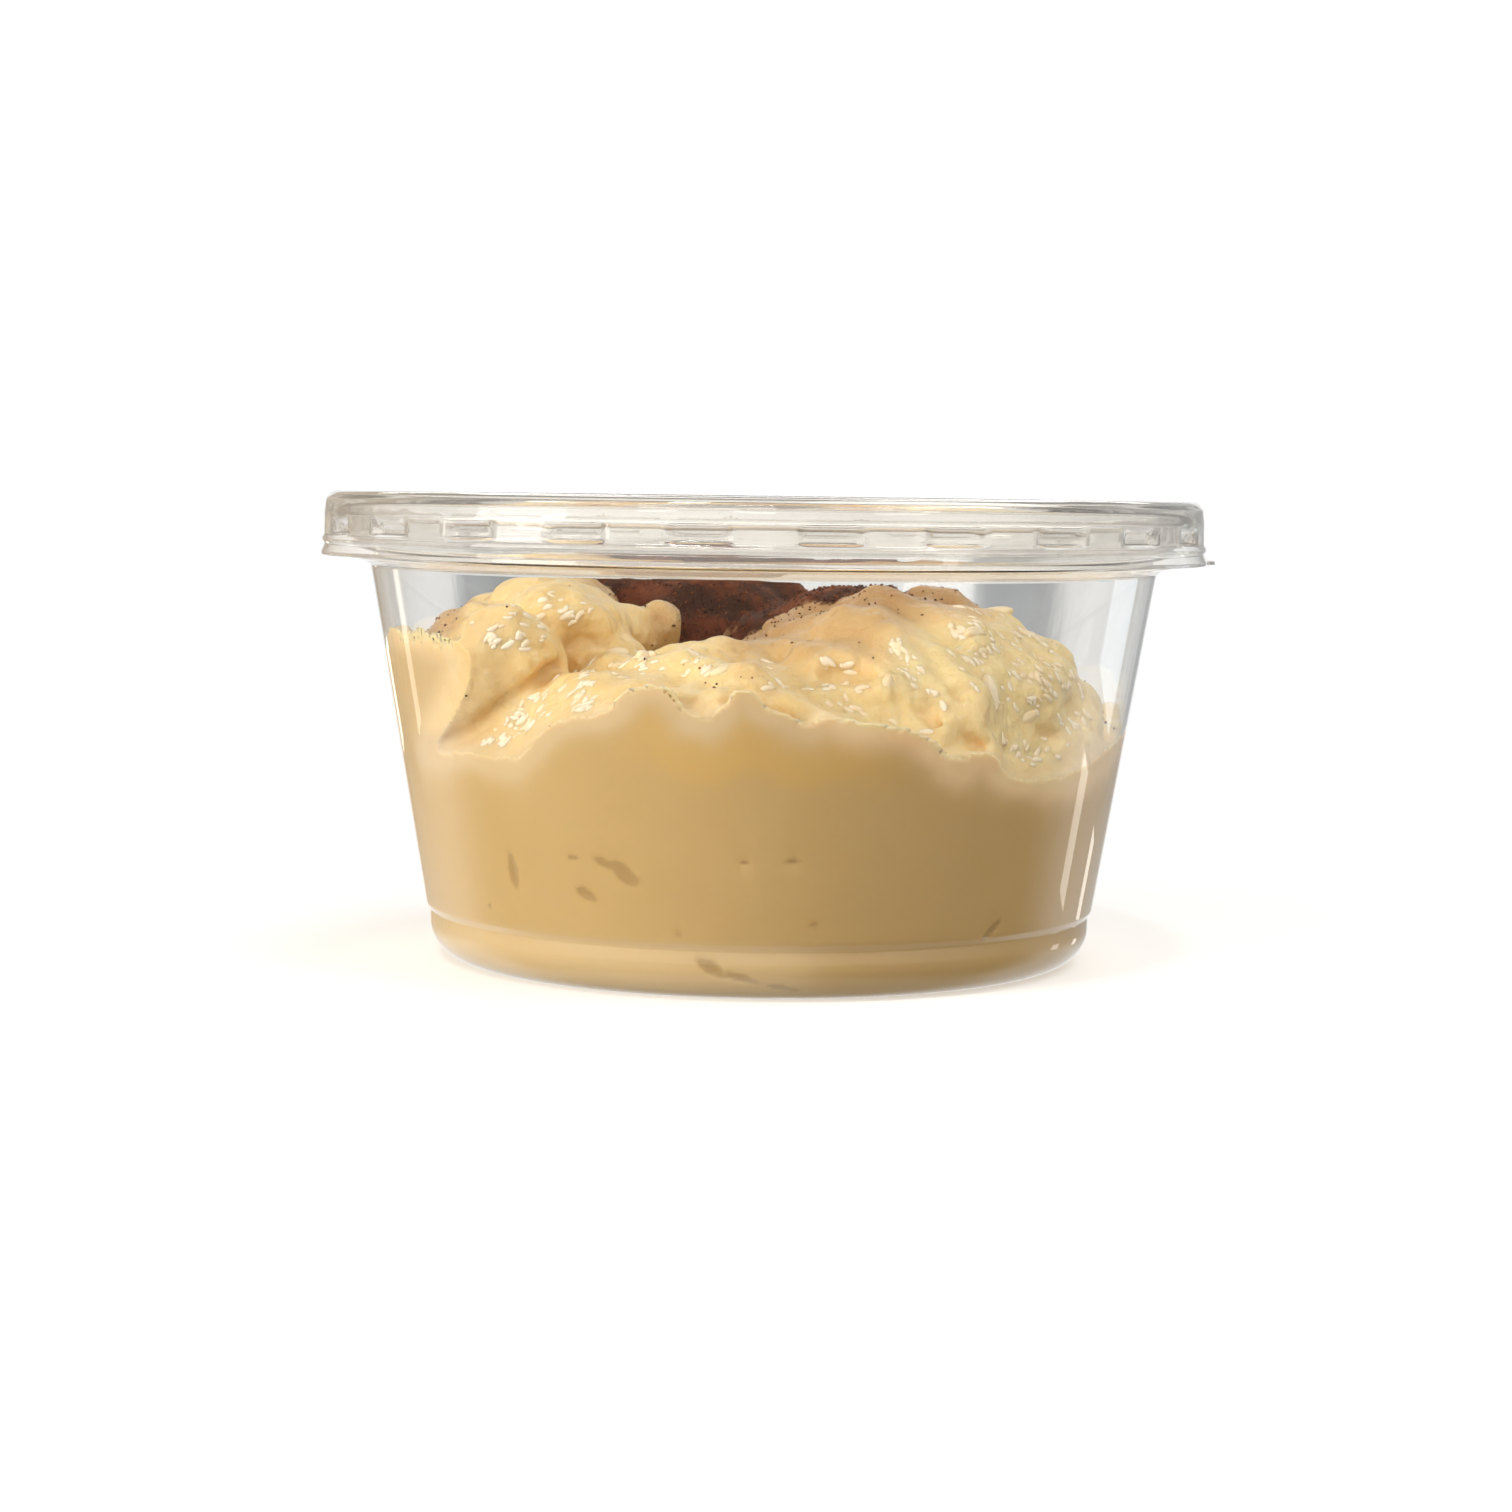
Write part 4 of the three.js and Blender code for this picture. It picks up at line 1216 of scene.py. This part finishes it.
# ------------------------------------------------------------------ floor, world, lights
def floor_disc():
    rows = np.concatenate([np.linspace(0, 130, 14), np.linspace(150, 620, 24)])
    n = 96
    v = [(0, 0, -0.02)]
    f = []
    for rr in rows[1:]:
        for k in range(n):
            a = 2 * math.pi * k / n
            v.append((rr * math.cos(a), rr * math.sin(a), -0.02))
    for k in range(n):
        f.append((0, 1 + k, 1 + (k + 1) % n))
    for i in range(len(rows) - 2):
        for k in range(n):
            a, b = 1 + i * n + k, 1 + i * n + (k + 1) % n
            f.append((a, a + n, b + n, b))
    me = bpy.data.meshes.new("floor")
    me.from_pydata([tuple(c * MM for c in p) for p in v], [], f)
    ob = bpy.data.objects.new("floor", me)
    bpy.context.scene.collection.objects.link(ob)
    m = bpy.data.materials.new("pale floor")
    m.use_nodes = True
    nt = m.node_tree
    nt.nodes.clear()
    t = Tree(nt)
    out = t.node("ShaderNodeOutputMaterial")
    mixs = t.node("ShaderNodeMixShader")
    far = t.node("ShaderNodeEmission")
    far.inputs["Color"].default_value = (1.0, 1.0, 1.0, 1)
    far.inputs["Strength"].default_value = 1.05
    p = t.node("ShaderNodeBsdfPrincipled")
    t.put(p.inputs["Base Color"], t.mix(t.span(t.noise(30, 2, 0.5), 0.3, 0.7), (0.90, 0.90, 0.895), (0.885, 0.885, 0.88)))
    p.inputs["Roughness"].default_value = 0.75
    p.inputs["Emission Color"].default_value = (1, 1, 1, 1)
    p.inputs["Emission Strength"].default_value = 0.35
    tc = t.node("ShaderNodeTexCoord")
    ln = t.node("ShaderNodeVectorMath", operation="LENGTH")
    nt.links.new(tc.outputs["Object"], ln.inputs[0])
    t.put(mixs.inputs[0], t.span(ln.outputs["Value"], 0.075, 0.165))
    nt.links.new(p.outputs[0], mixs.inputs[1])
    nt.links.new(far.outputs[0], mixs.inputs[2])
    nt.links.new(mixs.outputs[0], out.inputs["Surface"])
    me.materials.append(m)
    ob.visible_diffuse = False
    ob.visible_glossy = False
    ob.visible_transmission = False
    return ob


floor_disc()

SKY = {
    "right": (0.30, 0.29, 0.27), "left": (0.12, 0.115, 0.105), "front": (1.31, 1.245, 1.16), "up": (0.12, 0.118, 0.112),
    "back": (1.05, 1.05, 1.05), "low_front": (0.03, 0.028, 0.025), "low_back": (1.05, 1.05, 1.05), "down": (0.62, 0.61, 0.59),
}


def studio(sky):
    """Plain surroundings: white behind and below, dim in front and to the right, warmer to the left."""
    world = bpy.context.scene.world or bpy.data.worlds.new("studio")
    bpy.context.scene.world = world
    world.use_nodes = True
    nt = world.node_tree
    nt.nodes.clear()
    t = Tree(nt)
    out = t.node("ShaderNodeOutputWorld")
    bg = t.node("ShaderNodeBackground")
    nt.links.new(bg.outputs[0], out.inputs["Surface"])
    tc = t.node("ShaderNodeTexCoord")
    sep = t.node("ShaderNodeSeparateXYZ")
    nt.links.new(tc.outputs["Generated"], sep.inputs[0])
    dx, dy, dz = sep.outputs
    flat_len = t.math("SQRT", t.math("ADD", t.math("MULTIPLY", dx, dx), t.math("ADD", t.math("MULTIPLY", dy, dy), 1e-5)))
    behind = t.math("DIVIDE", dy, flat_len)  # 1 straight behind the cup, -1 towards the viewer
    to_left = t.math("MULTIPLY", t.math("DIVIDE", dx, flat_len), -1.0)
    sides = t.mix(t.span(to_left, -0.5, 0.6), sky["right"], sky["left"])
    level = t.node("ShaderNodeCombineXYZ")
    nt.links.new(dz, level.inputs[2])
    bands = t.span(t.noise(26, 3, 0.6, level.outputs[0]), 0.36, 0.64)  # shelves and edges that the lid mirrors as level lines
    front = t.mix(bands, tuple(0.85 * c for c in sky["front"]), tuple(1.15 * c for c in sky["front"]))
    sides = t.mix(t.span(behind, 0.2, -0.8), sides, front)
    col = t.mix(t.span(behind, 0.78, 0.93), sides, sky["back"])
    # what the edges of the cup and lid mirror: a tan wall behind to the left, a cool grey one behind to the right
    tan_wall = t.math("MULTIPLY", t.span(to_left, 0.27, 0.31), t.span(behind, 0.0, 0.3))
    cool_wall = t.math("MULTIPLY", t.span(to_left, -0.27, -0.31), t.span(behind, 0.0, 0.3))
    col = t.mix(t.math("MULTIPLY", tan_wall, 0.9), col, t.mix(t.span(t.noise(30, 2, 0.5), 0.35, 0.65), (0.40, 0.315, 0.215), (0.50, 0.40, 0.28)))
    col = t.mix(t.math("MULTIPLY", cool_wall, 0.9), col, t.mix(t.span(t.noise(30, 2, 0.5), 0.35, 0.65), (0.37, 0.38, 0.385), (0.45, 0.46, 0.465)))
    # greyer wall far behind, seen through the two clear corners over the pudding
    across = t.math("DIVIDE", dx, t.math("MAXIMUM", dy, 0.05))
    rise = t.math("DIVIDE", dz, flat_len)
    ahead = t.span(behind, 0.9, 0.95)
    corner = t.math("ADD", t.math("MULTIPLY", t.span(across, -0.114, -0.107), t.span(across, -0.02, -0.03)), t.math("MULTIPLY", t.span(across, 0.067, 0.077), t.span(across, 0.112, 0.097)))
    corner = t.math("MULTIPLY", t.math("MULTIPLY", corner, ahead), t.math("MULTIPLY", t.span(rise, -0.16, -0.14), t.span(rise, -0.024, -0.0275)))
    cloud = t.span(t.noise(42, 3, 0.6), 0.3, 0.7)
    grey = t.mix(cloud, tuple(c * k for c, k in zip(sky["back"], (0.42, 0.435, 0.445))), tuple(c * k for c, k in zip(sky["back"], (0.56, 0.575, 0.585))))
    col = t.mix(corner, col, grey)
    # a pale blue thing behind the right end of the lid
    blue = t.math("MULTIPLY", t.math("MULTIPLY", t.span(across, 0.121, 0.124), t.span(across, 0.1345, 0.132)), t.math("MULTIPLY", t.span(rise, -0.0165, -0.0145), t.span(rise, -0.002, -0.0035)))
    blue = t.math("MULTIPLY", t.math("MULTIPLY", blue, ahead), t.span(t.noise(90, 3, 0.6), 0.36, 0.5))
    col = t.mix(blue, col, (0.40, 0.80, 0.95))
    col = t.mix(t.span(dz, 0.25, 0.85), col, sky["up"])
    low = t.mix(t.span(behind, 0.1, 0.6), sky["low_front"], sky["low_back"])
    low = t.mix(t.span(dz, -0.62, -0.85), low, sky["down"])
    col = t.mix(t.span(dz, -0.10, -0.3), col, low)
    nt.links.new(col, bg.inputs["Color"])
    bg.inputs["Strength"].default_value = 1.0


studio(SKY)


def lamp(name, at, target, size, power, colour=(1, 1, 1), size_y=None, spread=None):
    d = bpy.data.lights.new(name, "AREA")
    d.shape = "RECTANGLE" if size_y else "SQUARE"
    d.size = size * MM
    if size_y:
        d.size_y = size_y * MM
    d.energy = power
    d.color = colour
    if spread:
        d.spread = math.radians(spread)
    o = bpy.data.objects.new(name, d)
    bpy.context.scene.collection.objects.link(o)
    at, target = Vector(at) * MM, Vector(target) * MM
    o.location = at
    o.rotation_euler = (target - at).to_track_quat("-Z", "Y").to_euler()
    o.visible_camera = False
    return o


lamp("top", (270, -70, 540), (0, 0, 40), 420, 1.45, (1.0, 0.985, 0.955))
lamp("top_small", (-130, -260, 520), (0, 0, 40), 70, 0.5, (1.0, 0.985, 0.955))
lamp("key_left", (-500, -270, 110), (0, 0, 30), 260, 2.6, (1.0, 0.985, 0.96)).visible_glossy = False
# seen only as a glint, in the plastic and on the wet cream: windows above, in front and behind
for name, at, wide, high, power in (("glint_front", (-170, -620, 470), 420, 46, 0.9), ("glint_right", (380, -480, 430), 200, 40, 0.35), ("glint_back", (0, 520, 400), 700, 60, 0.8)):
    lamp(name, at, (0, 0, 50), wide, power, (1.0, 0.985, 0.96), high).visible_diffuse = False
# narrow windows and gaps that the side of the cup mirrors as streaks
lamp("gleam_left_high", (-389, 315, -30), (0, 0, 40), 34, 0.008, (1.0, 0.94, 0.80), 60)
lamp("gleam_left_low", (-227, 445, -18), (0, 0, 20), 36, 0.006, (1.0, 0.94, 0.80), 30)
lamp("gleam_right", (431, 253, -100), (0, 0, 25), 44, 0.010, (1.0, 0.95, 0.85), 40)
lamp("gleam_right_low", (332, 374, -92), (0, 0, 20), 34, 0.006, (1.0, 0.95, 0.85), 30)
lamp("gleam_right_high", (369, 258, 0), (0, 0, 45), 130, 0.030, (0.78, 0.90, 1.0), 90).visible_diffuse = False

sc = bpy.context.scene
sc.view_settings.view_transform = "Standard"
sc.view_settings.look = "None"
sc.cycles.max_bounces = 14
sc.cycles.transmission_bounces = 14
sc.cycles.glossy_bounces = 6
sc.cycles.diffuse_bounces = 3
sc.cycles.transparent_max_bounces = 12
sc.cycles.sample_clamp_indirect = 4.0
sc.cycles.use_denoising = True
